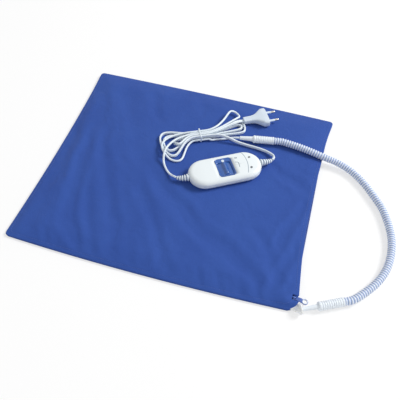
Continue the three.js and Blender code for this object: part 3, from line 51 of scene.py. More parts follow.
camera.matrix_world = Matrix.Translation((0.1436406, -0.5062618, 0.6203694)) @ turned
bpy.context.scene.collection.objects.link(camera)
bpy.context.scene.camera = camera


def node(tree, kind, links=None, **settings):
    """Adds a shader node. Its links and socket values are given by socket name or number."""
    made = tree.nodes.new(kind)
    for name, value in settings.items():
        setattr(made, name, value)
    for name, value in (links or {}).items():
        if isinstance(value, bpy.types.NodeSocket):
            tree.links.new(value, made.inputs[name])
        else:
            made.inputs[name].default_value = value
    return made


def linear(hex_colour):
    shares = [int(hex_colour[place : place + 2], 16) / 255 for place in (0, 2, 4)]
    return (*[c / 12.92 if c <= 0.04045 else ((c + 0.055) / 1.055) ** 2.4 for c in shares], 1)


def opened(material):
    """A material's tree, its shader and the place on the object that patterns are drawn by."""
    tree = material.node_tree
    return tree, tree.nodes["Principled BSDF"], node(tree, "ShaderNodeTexCoord").outputs["Object"]


def new_finish(name, roughness, mottle=None, marked=None, grain=None, wear=None, **values):
    """A material with its plain values set, and with the patterns that it is given.

    Mottle blends two colours, grain is a fine relief with its strength and its depth in metres, and wear runs
    between two roughnesses. Each starts with its noise's scale and detail. Marked blends by an attribute.
    """
    made = bpy.data.materials.new(name)
    made.use_nodes = True
    tree, shader, place_on = opened(made)
    shader.inputs["Roughness"].default_value = roughness
    for title, value in values.items():
        shader.inputs[title.replace("_", " ")].default_value = value
    for title, pattern in (("Base Color", mottle), ("Normal", grain), ("Roughness", wear)):
        if not pattern:
            continue
        scale, detail, low, high = pattern
        speckle = node(tree, "ShaderNodeTexNoise", {"Vector": place_on, "Scale": scale, "Detail": detail})
        speckle = speckle.outputs[0]
        if title == "Base Color":
            links = {"Factor": speckle, "A": linear(low), "B": linear(high)}
            given = node(tree, "ShaderNodeMix", links, data_type="RGBA").outputs["Result"]
        elif title == "Normal":
            given = node(tree, "ShaderNodeBump", {"Height": speckle, "Strength": low, "Distance": high})
            given = given.outputs[0]
        else:
            given = node(tree, "ShaderNodeMapRange", {"Value": speckle, "To Min": low, "To Max": high})
            given = given.outputs[0]
        tree.links.new(given, shader.inputs[title])
    if marked:
        title, low, high = marked
        shares = node(tree, "ShaderNodeAttribute", attribute_name=title).outputs["Fac"]
        links = {"Factor": shares, "A": linear(low), "B": linear(high)}
        tint = node(tree, "ShaderNodeMix", links, data_type="RGBA")
        tree.links.new(tint.outputs["Result"], shader.inputs["Base Color"])
    return made


for lamp_name, spot, width, power in (
    ("soft_key", (2.1, 1.35, 2.2), 1.1, 84),
    ("low_fill", (-0.3, -2.1, 1.6), 2.2, 5),
):
    lamp = bpy.data.objects.new(lamp_name, bpy.data.lights.new(lamp_name, "AREA"))
    lamp.data.size = width
    lamp.data.energy = power
    lamp.location = spot
    lamp.rotation_euler = Vector(spot).to_track_quat("Z", "Y").to_euler()
    bpy.context.scene.collection.objects.link(lamp)

studio = bpy.data.worlds.new("studio")
studio.use_nodes = True
bpy.context.scene.world = studio
sky = studio.node_tree
rays = node(sky, "ShaderNodeLightPath").outputs
bright = rays["Is Camera Ray"]
for other in ("Is Glossy Ray", "Is Transmission Ray"):
    bright = node(sky, "ShaderNodeMath", {0: bright, 1: rays[other]}, operation="MAXIMUM").outputs[0]
glow = node(sky, "ShaderNodeMapRange", {"Value": bright, "To Min": 0.5, "To Max": 1.0})
sky.links.new(glow.outputs[0], sky.nodes["Background"].inputs["Strength"])
sky.nodes["Background"].inputs["Color"].default_value = (1, 1, 1, 1)

table_mesh = bmesh.new()
just_below = Matrix.Translation((0, 0, -0.0002))
bmesh.ops.create_grid(table_mesh, x_segments=1, y_segments=1, size=3, matrix=just_below)
table = bpy.data.objects.new("table_top", bpy.data.meshes.new("table_top"))
table_mesh.to_mesh(table.data)
table_mesh.free()
# White paper. For the camera it is mixed with plain white light, and it keeps a soft shadow
white_table = new_finish("white_table", 0.9, Base_Color=linear("ffffff"))
tree, shader, _ = opened(white_table)
seen = node(tree, "ShaderNodeLightPath").outputs["Is Camera Ray"]
share = node(tree, "ShaderNodeMath", {0: seen, 1: 0.6}, operation="MULTIPLY").outputs[0]
white_light = node(tree, "ShaderNodeEmission", {"Strength": 1.0}).outputs[0]
paper = node(tree, "ShaderNodeMixShader", {0: share, 1: shader.outputs[0], 2: white_light})
tree.links.new(paper.outputs[0], tree.nodes["Material Output"].inputs["Surface"])
table.data.materials.append(white_table)
bpy.context.scene.collection.objects.link(table)

# Leads. Soft PVC with a satin skin. The pad's lead is round, and the mains lead is two cores side by side
# under one skin. Both are folded to and fro through one waist, in columns of two layers. All in millimetres.
mm = 0.001
waist = Vector((4, 71, 0))
waist_heading = math.radians(27)
column_pitch = 3.8
waist_half_length = 9
low_z, high_z = 13.4, 18.9
lead_gap = 0.3


def smooth(share):
    held = min(max(share, 0), 1)
    return held * held * (3 - 2 * held)


def heading(angle, length=1.0):
    return Vector((math.cos(angle), math.sin(angle), 0)) * length


def waist_slot(column, height, side, beyond=0.0):
    """Where a column leaves the straight waist on its right (1) or its left (-1), or a little beyond."""
    place = waist + heading(waist_heading, side * (waist_half_length + beyond))
    place += heading(waist_heading + math.pi / 2, column * column_pitch)
    return Vector((place.x, place.y, height))


def lobe(start, end, side, reach, spread, bend, lean, blunt, drop, drop_from, climb=(0.3, 0.7)):
    """A fold of lead: it leaves its column straight, swells to its spread and comes back to another one."""
    (first, low), (last, high) = start, end
    begin, finish = waist_slot(first, low, side), waist_slot(last, high, side)
    turn = math.copysign(1, first - last)
    points = []
    for step in range(61):
        share = step / 60
        sine = math.sin(math.pi * share)
        out = sine * (1 + blunt - blunt * sine)
        swell = math.sin(2 * math.pi * share) * sine / 0.77
        way = waist_heading + math.radians(bend) * out * (2 - out)
        point = begin.lerp(finish, smooth(share)) + heading(way, side * reach * out)
        point += heading(way + math.pi / 2, turn * spread / 2 * (swell + lean * out * out))
        point.z = low + (high - low) * smooth((share - climb[0]) / (climb[1] - climb[0]))
        point.z -= drop * smooth((sine - drop_from) / (0.6 - drop_from / 5))
        points.append(point)
    return points


def bends(stops, spacing=1.5):
    """Points every so many millimetres on a smooth curve through the stops."""
    stops = [Vector(stop) for stop in stops]
    line = [2 * stops[0] - stops[1], *stops, 2 * stops[-1] - stops[-2]]
    points = []
    for before, start, end, after in zip(line, line[1:], line[2:], line[3:]):
        pairs = ((before, start), (start, end), (end, after))
        one, two, three = (math.sqrt((b - a).length) for a, b in pairs)
        leave = two * ((start - before) / one - (end - before) / (one + two) + (end - start) / two)
        reach = two * ((end - start) / two - (after - start) / (two + three) + (after - end) / three)
        count = max(1, round((end - start).length / spacing))
        for step in range(count):
            t = step / count
            point = start * (2 * t**3 - 3 * t**2 + 1) + leave * (t**3 - 2 * t**2 + t)
            points.append(point + end * (3 * t**2 - 2 * t**3) + reach * (t**3 - t**2))
    return points + [stops[-1]]


def length_of(points):
    return sum((two - one).length for one, two in zip(points, points[1:]))


def evenly(points, spacing):
    """The same line with its points a like distance apart."""
    total = length_of(points)
    count = round(total / spacing)
    result, run, place = [points[0].copy()], 0.0, 0
    for step in range(1, count):
        target = total * step / count
        while run + (points[place + 1] - points[place]).length < target:
            run += (points[place + 1] - points[place]).length
            place += 1
        gap = points[place + 1] - points[place]
        result.append(points[place] + gap * ((target - run) / gap.length))
    return result + [points[-1].copy()]


def skin(mesh, rings, closed=False):
    """Faces between rings of points in millimetres, with a face on each end or joined round."""
    loops = [[mesh.verts.new(Vector(point) * mm) for point in ring] for ring in rings]
    for near, far in zip(loops, loops[1:] + loops[:1] if closed else loops[1:]):
        for spot in range(len(near)):
            after = (spot + 1) % len(near)
            mesh.faces.new((near[spot], near[after], far[after], far[spot]))
    if not closed:
        mesh.faces.new(reversed(loops[0]))
        mesh.faces.new(loops[-1])


def finished(name, mesh, sharp=None):
    """Makes the object. Edges that bend more than the sharp angle, in degrees, stay crisp."""
    bmesh.ops.recalc_face_normals(mesh, faces=mesh.faces[:])
    for face in mesh.faces:
        face.smooth = True
    for edge in mesh.edges:
        if sharp and len(edge.link_faces) == 2 and edge.calc_face_angle(0) > math.radians(sharp):
            edge.smooth = False
    made = bpy.data.objects.new(name, bpy.data.meshes.new(name))
    mesh.to_mesh(made.data)
    mesh.free()
    bpy.context.scene.collection.objects.link(made)
    return made


def skinned(name, rings, sharp=None, closed=False):
    mesh = bmesh.new()
    skin(mesh, rings, closed)
    return finished(name, mesh, sharp)


def sweep(name, points, section, sizes=None, rolls=None, sharp=None):
    """A closed skin along a line. The section's width is level and its height upright unless it is rolled."""
    rings = []
    for place, point in enumerate(points):
        tangent = (points[min(place + 1, len(points) - 1)] - points[max(place - 1, 0)]).normalized()
        level = Vector((0, 0, 1)).cross(tangent).normalized()
        upright = tangent.cross(level)
        roll = rolls[place] if rolls else 0
        across = level * math.cos(roll) + upright * math.sin(roll)
        over = upright * math.cos(roll) - level * math.sin(roll)
        size = sizes[place] if sizes else 1
        rings.append([point + across * x * size + over * y * size for x, y in section])
    return skinned(name, rings, sharp)


def circle(count, first=0.0):
    """Points evenly round a circle of radius one, from the first angle in degrees."""
    turns = [math.radians(first + 360 * step / count) for step in range(count)]
    return [(math.cos(turn), math.sin(turn)) for turn in turns]


def round_section(diameter, sides):
    return [(diameter / 2 * x, diameter / 2 * y) for x, y in circle(sides)]


def mark(piece, title, values):
    """Stores a value for each point of a piece's mesh, for its finish to read."""
    stored = piece.data.attributes.new(title, "FLOAT", "POINT")
    for spot, value in enumerate(values):
        stored.data[spot].value = value


def dress(piece, material, body, slot, *nodes):
    """Gives a piece its finish and the body it rides on, and hides the CAD nodes it stands for. The slot is
    not used.
    """
    piece.data.materials.append(material)
    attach(piece, body)
    if nodes:
        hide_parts(*nodes)


# Satin PVC: a faint mottle from handling, and a skin grain drawn at 1.2 mm because the real one is too fine
satin_pvc = new_finish(
    "satin_pvc", 0.36, mottle=(45.0, 3.0, "d9e5ee", "ecf4fa"), grain=(830.0, 2.0, 0.2, 0.0001),
    Specular_IOR_Level=0.5,
)

centre = Vector((58.5, 12, 9.7))
body_heading = math.radians(32)


def on_body(along, across, height):
    """A point of the controller's own frame, in the frame of the whole part."""
    place = centre + heading(body_heading, along) + heading(body_heading + math.pi / 2, across)
    return place + Vector((0, 0, height))


left_tip = (on_body(-72.03, 5.5, 6.8), math.radians(168))
right_tip = (on_body(74.3, 2.27, 6.8), math.radians(58))


def past_tip(tip, beyond):
    return tip[0] + heading(tip[1], beyond)


far_hose_heading, pad_hose_heading = math.radians(10.3), math.radians(27.6)
far_hose_end = Vector((116.3, 93.8, 15.7))
far_neck = far_hose_end - heading(far_hose_heading, 53.1)
pad_neck = Vector((203, -172, 6.4))
pad_hose_end = pad_neck + heading(pad_hose_heading, 56.8)

pad_lead_line = [far_neck - heading(far_hose_heading, lead_gap)] + bends([
    far_neck - heading(far_hose_heading, 3.2), (52, 83.2, 13), (41.5, 79.2, 11.6), (31, 74.6, 11.8),
    (22.5, 70, 12.6), waist_slot(-2, low_z, 1, 3.75),
])
for fold_shape in (
    ((-2, low_z), (1.5, high_z), -1, 57.09, 35.59, 33.6, -0.14, -0.341, 1.97, 0.017, (0.437, 0.569)),
    ((1.5, high_z), (0.5, high_z), 1, 69.45, 16.19, 27.9, 0.306, 0.477, 6.98, 0.703),
):
    pad_lead_line += lobe(*fold_shape)
pad_lead_line += bends([
    waist_slot(0.5, high_z, -1, 3.75), (-19.5, 57, 18.9), (-28.5, 46, 20), (-33.8, 33.5, 20.6),
    (-35.8, 22, 21.2), (-35.6, 13, 18.4), (-32.8, 3.5, 13.4), (-26, -6.5, 11.7), (-18, -15, 13.2),
    (-12.6, -18.8, 15), past_tip(left_tip, lead_gap + 3.2),
]) + [past_tip(left_tip, lead_gap)]
pad_lead_line = evenly(pad_lead_line, 1.5)
pad_lead = sweep("pad_lead", pad_lead_line, round_section(3.2, 14))
dress(
    pad_lead, satin_pvc, "body", "cord_vinyl",
    "pad_lead_hose_stretch", "pad_lead_hank", "pad_lead_controller_stretch",
)

plug_entry = Vector((61.7, 122, 16.55))
plug_heading = math.radians(30.5)
plug_seat = plug_entry - heading(plug_heading, lead_gap)
to_waist = [plug_seat] + bends([
    plug_seat - heading(plug_heading, 3), (56.6, 117.5, 18.5), (49.5, 110.4, 18.9), (40, 99.6, 18.9),
    (30, 87.6, 18.9), (21.5, 79.4, 18.9), waist_slot(-0.5, high_z, 1, 3.05),
])
mains_line = to_waist[:]
for fold_shape in (
    ((-0.5, high_z), (0, low_z), -1, 32.76, 13.17, 16.3, -0.049, 0.427, 0.61, 0.132, (0.384, 0.556)),
    ((0, low_z), (1, low_z), 1, 61.15, 8.16, 8.7, -0.062, 0.467, 1.2, -0.043),
    ((1, low_z), (-1, low_z), -1, 48.73, 24.9, 6.9, -0.265, 0.035, 1.2, -0.041),
    ((-1, low_z), (2, low_z), 1, 65.5, 18.6, 7.4, -0.242, 0.56, 1.2, -0.03),
    ((2, low_z), (-1.5, high_z), -1, 52.9, 41.42, 13.6, 0.008, -0.095, 1.19, 0.138, (0.714, 0.905)),
):
    mains_line += lobe(*fold_shape)
mains_line += bends([
    waist_slot(-1.5, high_z, 1, 5.55), (33, 77.5, 18.9), (48, 77.2, 17.6), (62, 76.2, 14),
    (76, 75.6, 12.4), (92, 74.6, 12.3), (106, 72.2, 12.6), (115.5, 68.2, 13.6), (121, 63.8, 14.8),
    past_tip(right_tip, lead_gap + 5),
]) + [past_tip(right_tip, lead_gap)]
stretch_share = length_of(to_waist) / length_of(mains_line)
mains_line = evenly(mains_line, 1.5)
# The two cores stand one over the other, and near the plug they roll level to enter its flat collar
shares = [step / (len(mains_line) - 1) / stretch_share for step in range(len(mains_line))]
rolls = [math.pi / 2 * (1 - smooth((share - 0.12) / 0.26)) for share in shares]
core_radius, core_away, groove_half_width = 1.5, 1, 1.16
core = [math.radians(-32 + 244 * step / 9) for step in range(10)]
twin = [(core_radius * math.cos(turn), core_away + core_radius * math.sin(turn)) for turn in core]
twin += [(-groove_half_width, 0)] + [(-x, -y) for x, y in twin] + [(groove_half_width, 0)]
mains_lead = sweep("mains_lead", mains_line, twin, rolls=rolls)
dress(
    mains_lead, satin_pvc, "body", "cord_vinyl",
    "mains_lead_plug_stretch", "mains_lead_hank", "mains_lead_controller_stretch",
)

# Tie. A thin moulded strap closed round the waist of the hank, rounded at its edges.
# It is nylon, a little glossier than the leads that it holds.
tie_plastic = new_finish("tie_nylon", 0.34, grain=(260.0, 3.0, 0.3, 0.0002), Base_Color=linear("dde7ef"))
tie_half_width, tie_half_height = 7.9, 4.05
tie_middle = (low_z + high_z) / 2
rings = []
for side, radius in (
    (-0.9, 1.8), (-0.65, 1.95), (0.65, 1.95), (0.9, 1.8),
    (0.9, 1.65), (0.65, 1.5), (-0.65, 1.5), (-0.9, 1.65),
):
    ring = []
    for out, up in circle(24, -82.5):
        across = math.copysign(tie_half_width, out) + radius * out
        height = tie_middle + math.copysign(tie_half_height, up) + radius * up
        place = waist + heading(waist_heading, side) + heading(waist_heading + math.pi / 2, across)
        ring.append(place + Vector((0, 0, height)))
    rings.append(ring)
tie = skinned("hank_tie", rings, 40, closed=True)
dress(tie, tie_plastic, "body", "tie_plastic", "cord_tie")

# Hose. A thin-walled polythene hose, blow moulded with fine ribs, guards the lead between pad and controller.
# It is milky, and its valleys are painted darker than its ribs as painted shade. The lead passes inside it.
# Painted shade: the valleys get a darker blue-grey than the crests, blended by each point's share of a crest
hose_plastic = new_finish(
    "milky_polythene", 0.34, marked=("rib", "8fa6cf", "e4eaf6"), grain=(300.0, 3.0, 0.25, 0.00015),
    Subsurface_Weight=0.25, Subsurface_Radius=(0.002, 0.002, 0.0025),
)
hose_diameter, valley_diameter, rib_pitch, hose_sides = 11, 9.4, 3.75, 28
hose_line = evenly(bends([
    far_hose_end, far_hose_end + heading(far_hose_heading, 11), (137.3, 95.2, 15.6), (157.4, 92.6, 15.4),
    *[
        (pad_hose_end.x + x, pad_hose_end.y + y, z)
        for x, y, z in (
            (-75.6, 234.7, 14.6), (-58.8, 232.3, 12.6), (-36.4, 230.3, 9), (-13.5, 221.3, 6.6),
            (7.3, 203.2, 6), (24, 182.1, 6), (36.3, 164.1, 6), (45.8, 141.4, 6), (51.5, 120.7, 6),
            (53.6, 99.6, 6), (51.7, 76, 6), (46.3, 56.2, 6), (37, 37.7, 6), (23.8, 20.1, 6),
        )
    ],
    pad_hose_end + heading(pad_hose_heading, 11), pad_hose_end,
]), rib_pitch / 6)[::-1]
rib_count = round(length_of(hose_line) / rib_pitch)
rib_steps = [step * rib_count / (len(hose_line) - 1) % 1 for step in range(len(hose_line))]
crests = [smooth(1.25 - 3 * abs(step - 0.5)) for step in rib_steps]
sizes = [(valley_diameter + (hose_diameter - valley_diameter) * crest) / hose_diameter for crest in crests]
hose = sweep("ribbed_hose", hose_line, round_section(hose_diameter, hose_sides), sizes=sizes)
# Each point's crest share sets how much painted valley shade it gets
mark(hose, "rib", [crest for crest in crests for _ in range(hose_sides)])
dress(hose, hose_plastic, "body", "hose_plastic", "hose", "hose_lead")

# Ferrules. A white sleeve moulded on each end of the hose, ringed with fine grooves for grip, tapers to a
# narrow neck round the lead. They are turned shapes: each row is a place along the axis and a radius.
def softened(rows, radius):
    """The same profile with its corners rounded."""
    result = [rows[0]]
    for before, corner, after in zip(rows, rows[1:], rows[2:]):
        corner = Vector(corner)
        sides = []
        for other in (before, after):
            way = Vector(other) - corner
            sides.append(corner + way * min(radius / max(way.length, 0.0001), 0.45))
        for step in range(5):
            share = step / 4
            result.append(sides[0].lerp(corner, share).lerp(corner.lerp(sides[1], share), share).to_tuple())
    return result + [rows[-1]]


def spun(mesh, rows, start, angle, sides=40):
    """A turned shape on a level axis, closed on the axis at both ends."""
    along, level, upright = heading(angle), heading(angle + math.pi / 2), Vector((0, 0, 1))
    skin(mesh, [
        [start + along * place + (level * x + upright * y) * radius for x, y in circle(sides)]
        for place, radius in rows
    ])


white_sleeve = new_finish(
    "white_sleeve_plastic", 0.33, grain=(420.0, 3.0, 0.22, 0.00015), Base_Color=linear("eaf1f8"),
)
sleeve_radius, groove_radius, groove_count = 6, 5.25, 10
for name, neck, neck_length, sleeve_length, start, angle, cad_name in (
    ("ferrule_at_pad", 5.3, 22.5, 34, pad_neck, pad_hose_heading, "ferrule_pad_end"),
    ("ferrule_at_controller", 6.5, 20.8, 32, far_neck, far_hose_heading, "ferrule_controller_end"),
):
    rows = [(0, 1.7), (0, neck / 2 - 0.5), (neck_length - 1.2, neck / 2 + 0.7), (neck_length, 5.3)]
    rows.append((neck_length + 1.2, sleeve_radius))
    for groove in range(1, groove_count + 1):
        middle = neck_length + 1.2 + groove * (sleeve_length - 1.8) / (groove_count + 1)
        for offset, radius in (
            (-0.75, sleeve_radius), (-0.3, groove_radius), (0.3, groove_radius), (0.75, sleeve_radius),
        ):
            rows.append((middle + offset, radius))
    rows += [(neck_length + sleeve_length, sleeve_radius), (neck_length + sleeve_length, 4.2)]
    ferrule_mesh = bmesh.new()
    spun(ferrule_mesh, softened(rows, 0.5), start, angle)
    ferrule = finished(name, ferrule_mesh)
    dress(ferrule, white_sleeve, "body", "sleeve_plastic", cad_name)

# Gland. A pale rubber grommet at the pad's cut corner, where the lead comes out. Its flat flange is sewn in
# along the cut, and it fans together into a bell whose mouth has a round lip.
gland_rubber = new_finish(
    "pale_gland_rubber", 0.55, mottle=(120.0, 4.0, "eef3f7", "f9fbfd"), grain=(900.0, 2.0, 0.35, 0.0002),
    Subsurface_Weight=0.6, Subsurface_Radius=(0.005, 0.005, 0.0055),
)
gland_mouth, gland_heading = Vector((203, -172, 7.2)), math.radians(24)
# Each row: where the section's middle is, the way of its width, and its half width and half height
gland_rows = [
    ((192.1, -168.1, 3.3), 46, 6.7, 0.7), ((193.0, -168.5, 3.3), 46, 7.3, 1.1),
    ((194.5, -169.1, 3.8), 56, 6.3, 1.7), ((196.5, -169.8, 4.9), 72, 5.4, 2.8),
    ((198.4, -171.6, 6.2), 92, 5.2, 4.2), ((200.3, -173.1, 7.2), 114, 5.5, 5.5),
]
for back, radius in (
    (1.9, 6.3), (1.3, 6.75), (0.3, 6.8), (0, 6.5), (0, 5.9), (0.4, 5.2), (1.4, 3), (4.7, 2.95), (4.75, 0.3),
):
    gland_rows.append((gland_mouth - heading(gland_heading, back), 114, radius, radius))
rings = []
for middle, way, wide, high in gland_rows:
    across = heading(math.radians(way), wide)
    rings.append([Vector(middle) + across * x + Vector((0, 0, high * y)) for x, y in circle(40)])
gland = skinned("corner_gland", rings, 55)
dress(gland, gland_rubber, "body", "gland_rubber", "gland")

# Pad covers. Two sheets of brushed blue polyester are sewn round the edge, and the upper one is drawn up over
# the felts. Its hem is turned over and held by one line of stitches. On the right it hangs as a flap over the
# zip, with a notch at the zip's closed end.
half_length, half_width = 200, 175
stitch_inset = 5.2


def bezier(start, corner, end, count):
    start, corner, end = Vector(start), Vector(corner), Vector(end)
    shares = [step / count for step in range(count + 1)]
    return [start.lerp(corner, share).lerp(corner.lerp(end, share), share) for share in shares]


def reading(points):
    """Reads x from y on a line of points that rises all the way."""
    def at(y):
        y = min(max(y, points[0].y), points[-1].y)
        for low, high in zip(points, points[1:]):
            if y <= high.y:
                return low.x + (high.x - low.x) * (y - low.y) / (high.y - low.y)
        return points[-1].x
    return at


left_line, right_line = [], []
for step in range(41):
    share = step / 40
    bow = 7.5 * (1 - abs(2 * share - 1) ** 3) - 2.4 * (1 - smooth((share - 0.04) / 0.33))
    bow -= 1.5 * math.exp(-(((share - 0.72) / 0.12) ** 2))
    left_line.append(Vector((-half_length + 3.7 * (1 - (2 * share - 1) ** 2), -169 + 338 * share)))
    right_line.append(Vector((196 + 4 * share - bow, -163 + 332 * share)))
left_edge = reading(
    bezier((-194, -175.001), (-200, -175), (-200, -169), 8)[:-1] + left_line
    + bezier((-200, 169), (-200, 175), (-194, 175.001), 8)[1:]
)
right_edge = reading(
    bezier((187.5, -175.001), (195, -172.4), (198.4, -163), 8)[:-1] + right_line
    + bezier((200, 169), (200, 175), (194, 175.001), 8)[1:]
)


def over_zip(y):
    """Where the cover's right edge hangs as a flap over the zip, from nought to one."""
    return smooth((y + 176) / 12) * (1 - smooth((y - 54) / 90))


def flap_edge(y):
    """The flap's edge. A notch at the zip's closed end leaves room for the pull to swing up."""
    return 189.1 if -162.2 < y < -154.7 else right_edge(y)


def near_edge(x):
    return -175.4 - 4.8 * (1 - min(abs(2 * (x + 194) / 382 - 1), 1) ** 2)


def far_edge(x):
    return 175.5 + 1.9 * (1 - min(abs(x) / 194, 1) ** 2)


def spread_places(length):
    """Shares of a side where the cloth gets a row of points: close together at the hems, then 3 mm apart."""
    margins = (0, 0.35, 0.9, 1.7, 2.6, 3.5, 4.3, 4.8, 5.2, 5.6, 6.2, 7.2, 8.6, 10.4, 13, 16, 19.5, 23.5, 27.5)
    inner = round((length - 2 * margins[-1]) / 3)
    middle = [margins[-1] + (length - 2 * margins[-1]) * step / inner for step in range(1, inner)]
    return [place / length for place in (*margins, *middle, *[length - place for place in margins[::-1]])]


# The long soft folds fan out from the far left corner. Each row is a valley's half width, depth and line
long_folds = []
for width, strength, line in (
    (8, 1.0, (
        (-197, 152), (-180, 127), (-168, 82), (-161, 32), (-151, -28), (-141, -88), (-123, -138), (-88, -173),
    )),
    (8, 0.75, (
        (-172, 130), (-156, 72), (-140, 32), (-122, -13), (-100, -50), (-83, -86), (-61, -128), (-42, -172),
    )),
    (9, 0.8, ((-195, 62), (-186, 17), (-178, -33), (-176, -78), (-173, -118), (-170, -165))),
    (9, 1.0, (
        (-62, 10), (-44, -8), (-25, -34), (-5, -54), (30, -82), (65, -103), (92, -119), (118, -134),
        (146, -160),
    )),
    (7, 0.7, ((-62, -34), (-32, -76), (-8, -113), (10, -143), (32, -173))),
    (10, 0.5, ((-148, 168), (-130, 120), (-108, 76), (-88, 40), (-70, 8), (-52, -22))),
    (6, 0.45, ((-46, -112), (-38, -140), (-24, -172))),
    (6, 0.6, ((-128, -60), (-112, -100), (-96, -135), (-74, -172))),
    (6, 1.0, ((182, 8), (180, -18), (173, -43), (163, -68), (157, -96))),
    (6, 0.9, ((183, -72), (177, -106), (167, -132), (160, -158))),
    (7, 0.7, ((112, 55), (145, 37), (182, 12))),
    (8, 0.6, ((-100, 160), (-92, 137), (-80, 112), (-60, 92))),
    (8, 0.35, ((-22, 170), (-11, 140), (-4, 112))),
    (7, 0.6, ((112, -66), (132, -84), (150, -112), (170, -150))),
    (5, 0.6, ((187, -138), (176, -158), (164, -173))),
    *[(4.5, 0.45, ((x, -148), (x + 5, -160), (x + 10, -174))) for x in (-152, -112, 8, 62, 88, 116, 138)],
):
    points = bends([(x, y, 0) for x, y in line], 1.5)
    valley = kdtree.KDTree(len(points))
    for place, point in enumerate(points):
        valley.insert(point, place)
    valley.balance()
    long_folds.append((valley, len(points), width, strength))


def fold(x, y):
    """How far the cloth sinks in its valleys. It is less than nought on the ridges beside them."""
    wander_x, wander_y = (6 * noise.noise(Vector((x / 40, y / 40, seed))) for seed in (1, 9))
    point = Vector((x + wander_x, y + wander_y, 0))
    depth = 0.45 * noise.noise(Vector((x / 60, y / 80, 11))) + 0.22 * noise.noise(Vector((x / 17, y / 26, 5)))
    for valley, count, width, strength in long_folds:
        _, place, away = valley.find(point)
        fade = smooth(place / count * 5) * smooth((1 - place / count) * 8 + 0.3)
        away /= width
        depth += strength * fade * (math.exp(-away * away) - 0.5 * math.exp(-(((away - 1.9) / 0.75) ** 2)))
    return depth


def cover_height(x, y):
    """The upper cover's height: a hem at its edge, a row of stitches, then the crown over the felts."""
    sides = (x - left_edge(y), right_edge(y) - x, y - near_edge(x), far_edge(x) - y)
    inset = max(min(sides), 0)
    soft = -5 * math.log(sum(math.exp(-max(side, 0) / 5) for side in sides))
    soft = max(min(soft, 30), 0) if inset > 0 else 0
    share = min(inset / 30, soft / 28, 1)
    crown_height, flap_height = 9.4, 9.8
    hem_height = 3.9 + 1.3 * smooth((y - 120) / 50)
    height = hem_height + (crown_height - hem_height) * (1 - (1 - share) ** 1.35)
    flap = over_zip(y) * smooth((36 - sides[1]) / 22)
    height += flap * (flap_height - 0.6 * (1 - min(sides[1] / 24, 1)) ** 2 - height)
    # The flap dips a little at the pull, so that its notch can be shallow
    height -= 1.1 * flap * math.exp(-(((y + 158.4) / 9) ** 2)) * (1 - min(sides[1] / 30, 1)) ** 2
    height -= (0.9 - 0.5 * flap) * (1 - min(inset / 1.3, 1)) ** 2.2
    stitch_groove = 0.12 * math.exp(-(((inset - stitch_inset) / 0.9) ** 2))
    height -= stitch_groove + 0.05 * math.sin(math.pi * min(inset / 4.6, 1))
    # The folds sink no lower than the inner bag, and they rise only where nothing lies on the pad
    laden = smooth((0.95 - math.hypot((x - 40) / 150, (y - 66) / 84)) * 6)
    laden = max(laden, smooth((36 - abs(y - 96 + 0.08 * (x - 110))) / 12) * smooth((x - 60) / 20))
    depth = fold(x, y)
    depth = min(depth, 0.78) if depth > 0 else depth * (1 - laden)
    height -= 1.5 * depth * smooth((inset - 1) / 10)
    gather = noise.noise(Vector((x / 7, y / 7, 2))) * math.exp(-(((inset - 7) / 4) ** 2))
    return height + 0.28 * gather


cover_mesh = bmesh.new()
columns = spread_places(400)
notch_rows = (-162.8, -162.4, -162.1, -154.8, -154.5, -154.1)
rows = sorted(spread_places(350) + [(y + 175) / 350 for y in notch_rows])
grid = []
for v in rows:
    level = -175 + 350 * v
    row = []
    for u in columns:
        x = left_edge(level) + u * (right_edge(level) - left_edge(level))
        x -= (right_edge(level) - flap_edge(level)) * max(1 - (right_edge(level) - x) / 40, 0) ** 2
        y = level + (1 - v) * (near_edge(x) + 175) + v * (far_edge(x) - 175)
        row.append(cover_mesh.verts.new((x * mm, y * mm, cover_height(x, y) * mm)))
    grid.append(row)
for near, far in zip(grid, grid[1:]):
    for spot in range(len(near) - 1):
        cover_mesh.faces.new((near[spot], near[spot + 1], far[spot + 1], far[spot]))
rim = grid[0] + [row[-1] for row in grid[1:]] + grid[-1][-2::-1] + [row[0] for row in grid[-2:0:-1]]
# Under the flap the cover is hollow, so that the zip's slider passes below it
under_rims = [rim, [], [], []]
for corner in rim:
    x, y, z = corner.co / mm
    open_here = smooth((y + 174) / 8) * (1 - smooth((y - 60) / 70)) if x > 180 else 0
    inner_x = x + open_here * min(187 - x, 0)
    for ring, place in zip(under_rims[1:], (
        (x - 0.1 * x / 200, y - 0.1 * y / 175, z - 0.7), (inner_x, y, z - 0.3 - 0.4 * open_here),
        (inner_x - 0.5 * x / 200, y - 0.5 * y / 175, 1.9),
    )):
        ring.append(cover_mesh.verts.new(Vector(place) * mm))
for above, below in zip(under_rims, under_rims[1:]):
    for spot in range(len(above)):
        after = (spot + 1) % len(above)
        cover_mesh.faces.new((above[after], above[spot], below[spot], below[after]))
cover_mesh.faces.new(under_rims[-1])
outline = []
for u in columns[:-1]:
    x = left_edge(-half_width) + u * (right_edge(-half_width) - left_edge(-half_width))
    outline.append((x, near_edge(x)))
outline += [(right_edge(-175 + 350 * v), -175 + 350 * v) for v in rows[:-1]]
for u in columns[:0:-1]:
    x = left_edge(half_width) + u * (right_edge(half_width) - left_edge(half_width))
    outline.append((x, far_edge(x)))
outline += [(left_edge(-175 + 350 * v), -175 + 350 * v) for v in rows[:0:-1]]


def drawn_in(inset):
    """The cover's outline, drawn in by an inset."""
    return [(x * (1 - inset / half_length), y * (1 - inset / half_width)) for x, y in outline]


# The lower cover, from its inner rim round the hem to its underside
skin(cover_mesh, [
    [(x, y, z) for x, y in drawn_in(inset)]
    for inset, z in (
        (6, 1.3), (stitch_inset, 1.1), (4.5, 1.6), (1.2, 1.62), (0.35, 1.45), (0, 1), (0.05, 0.55),
        (0.5, 0.12), (1.3, 0), (4.6, 0), (stitch_inset, 0.35), (5.8, 0), (7, 0),
    )
])

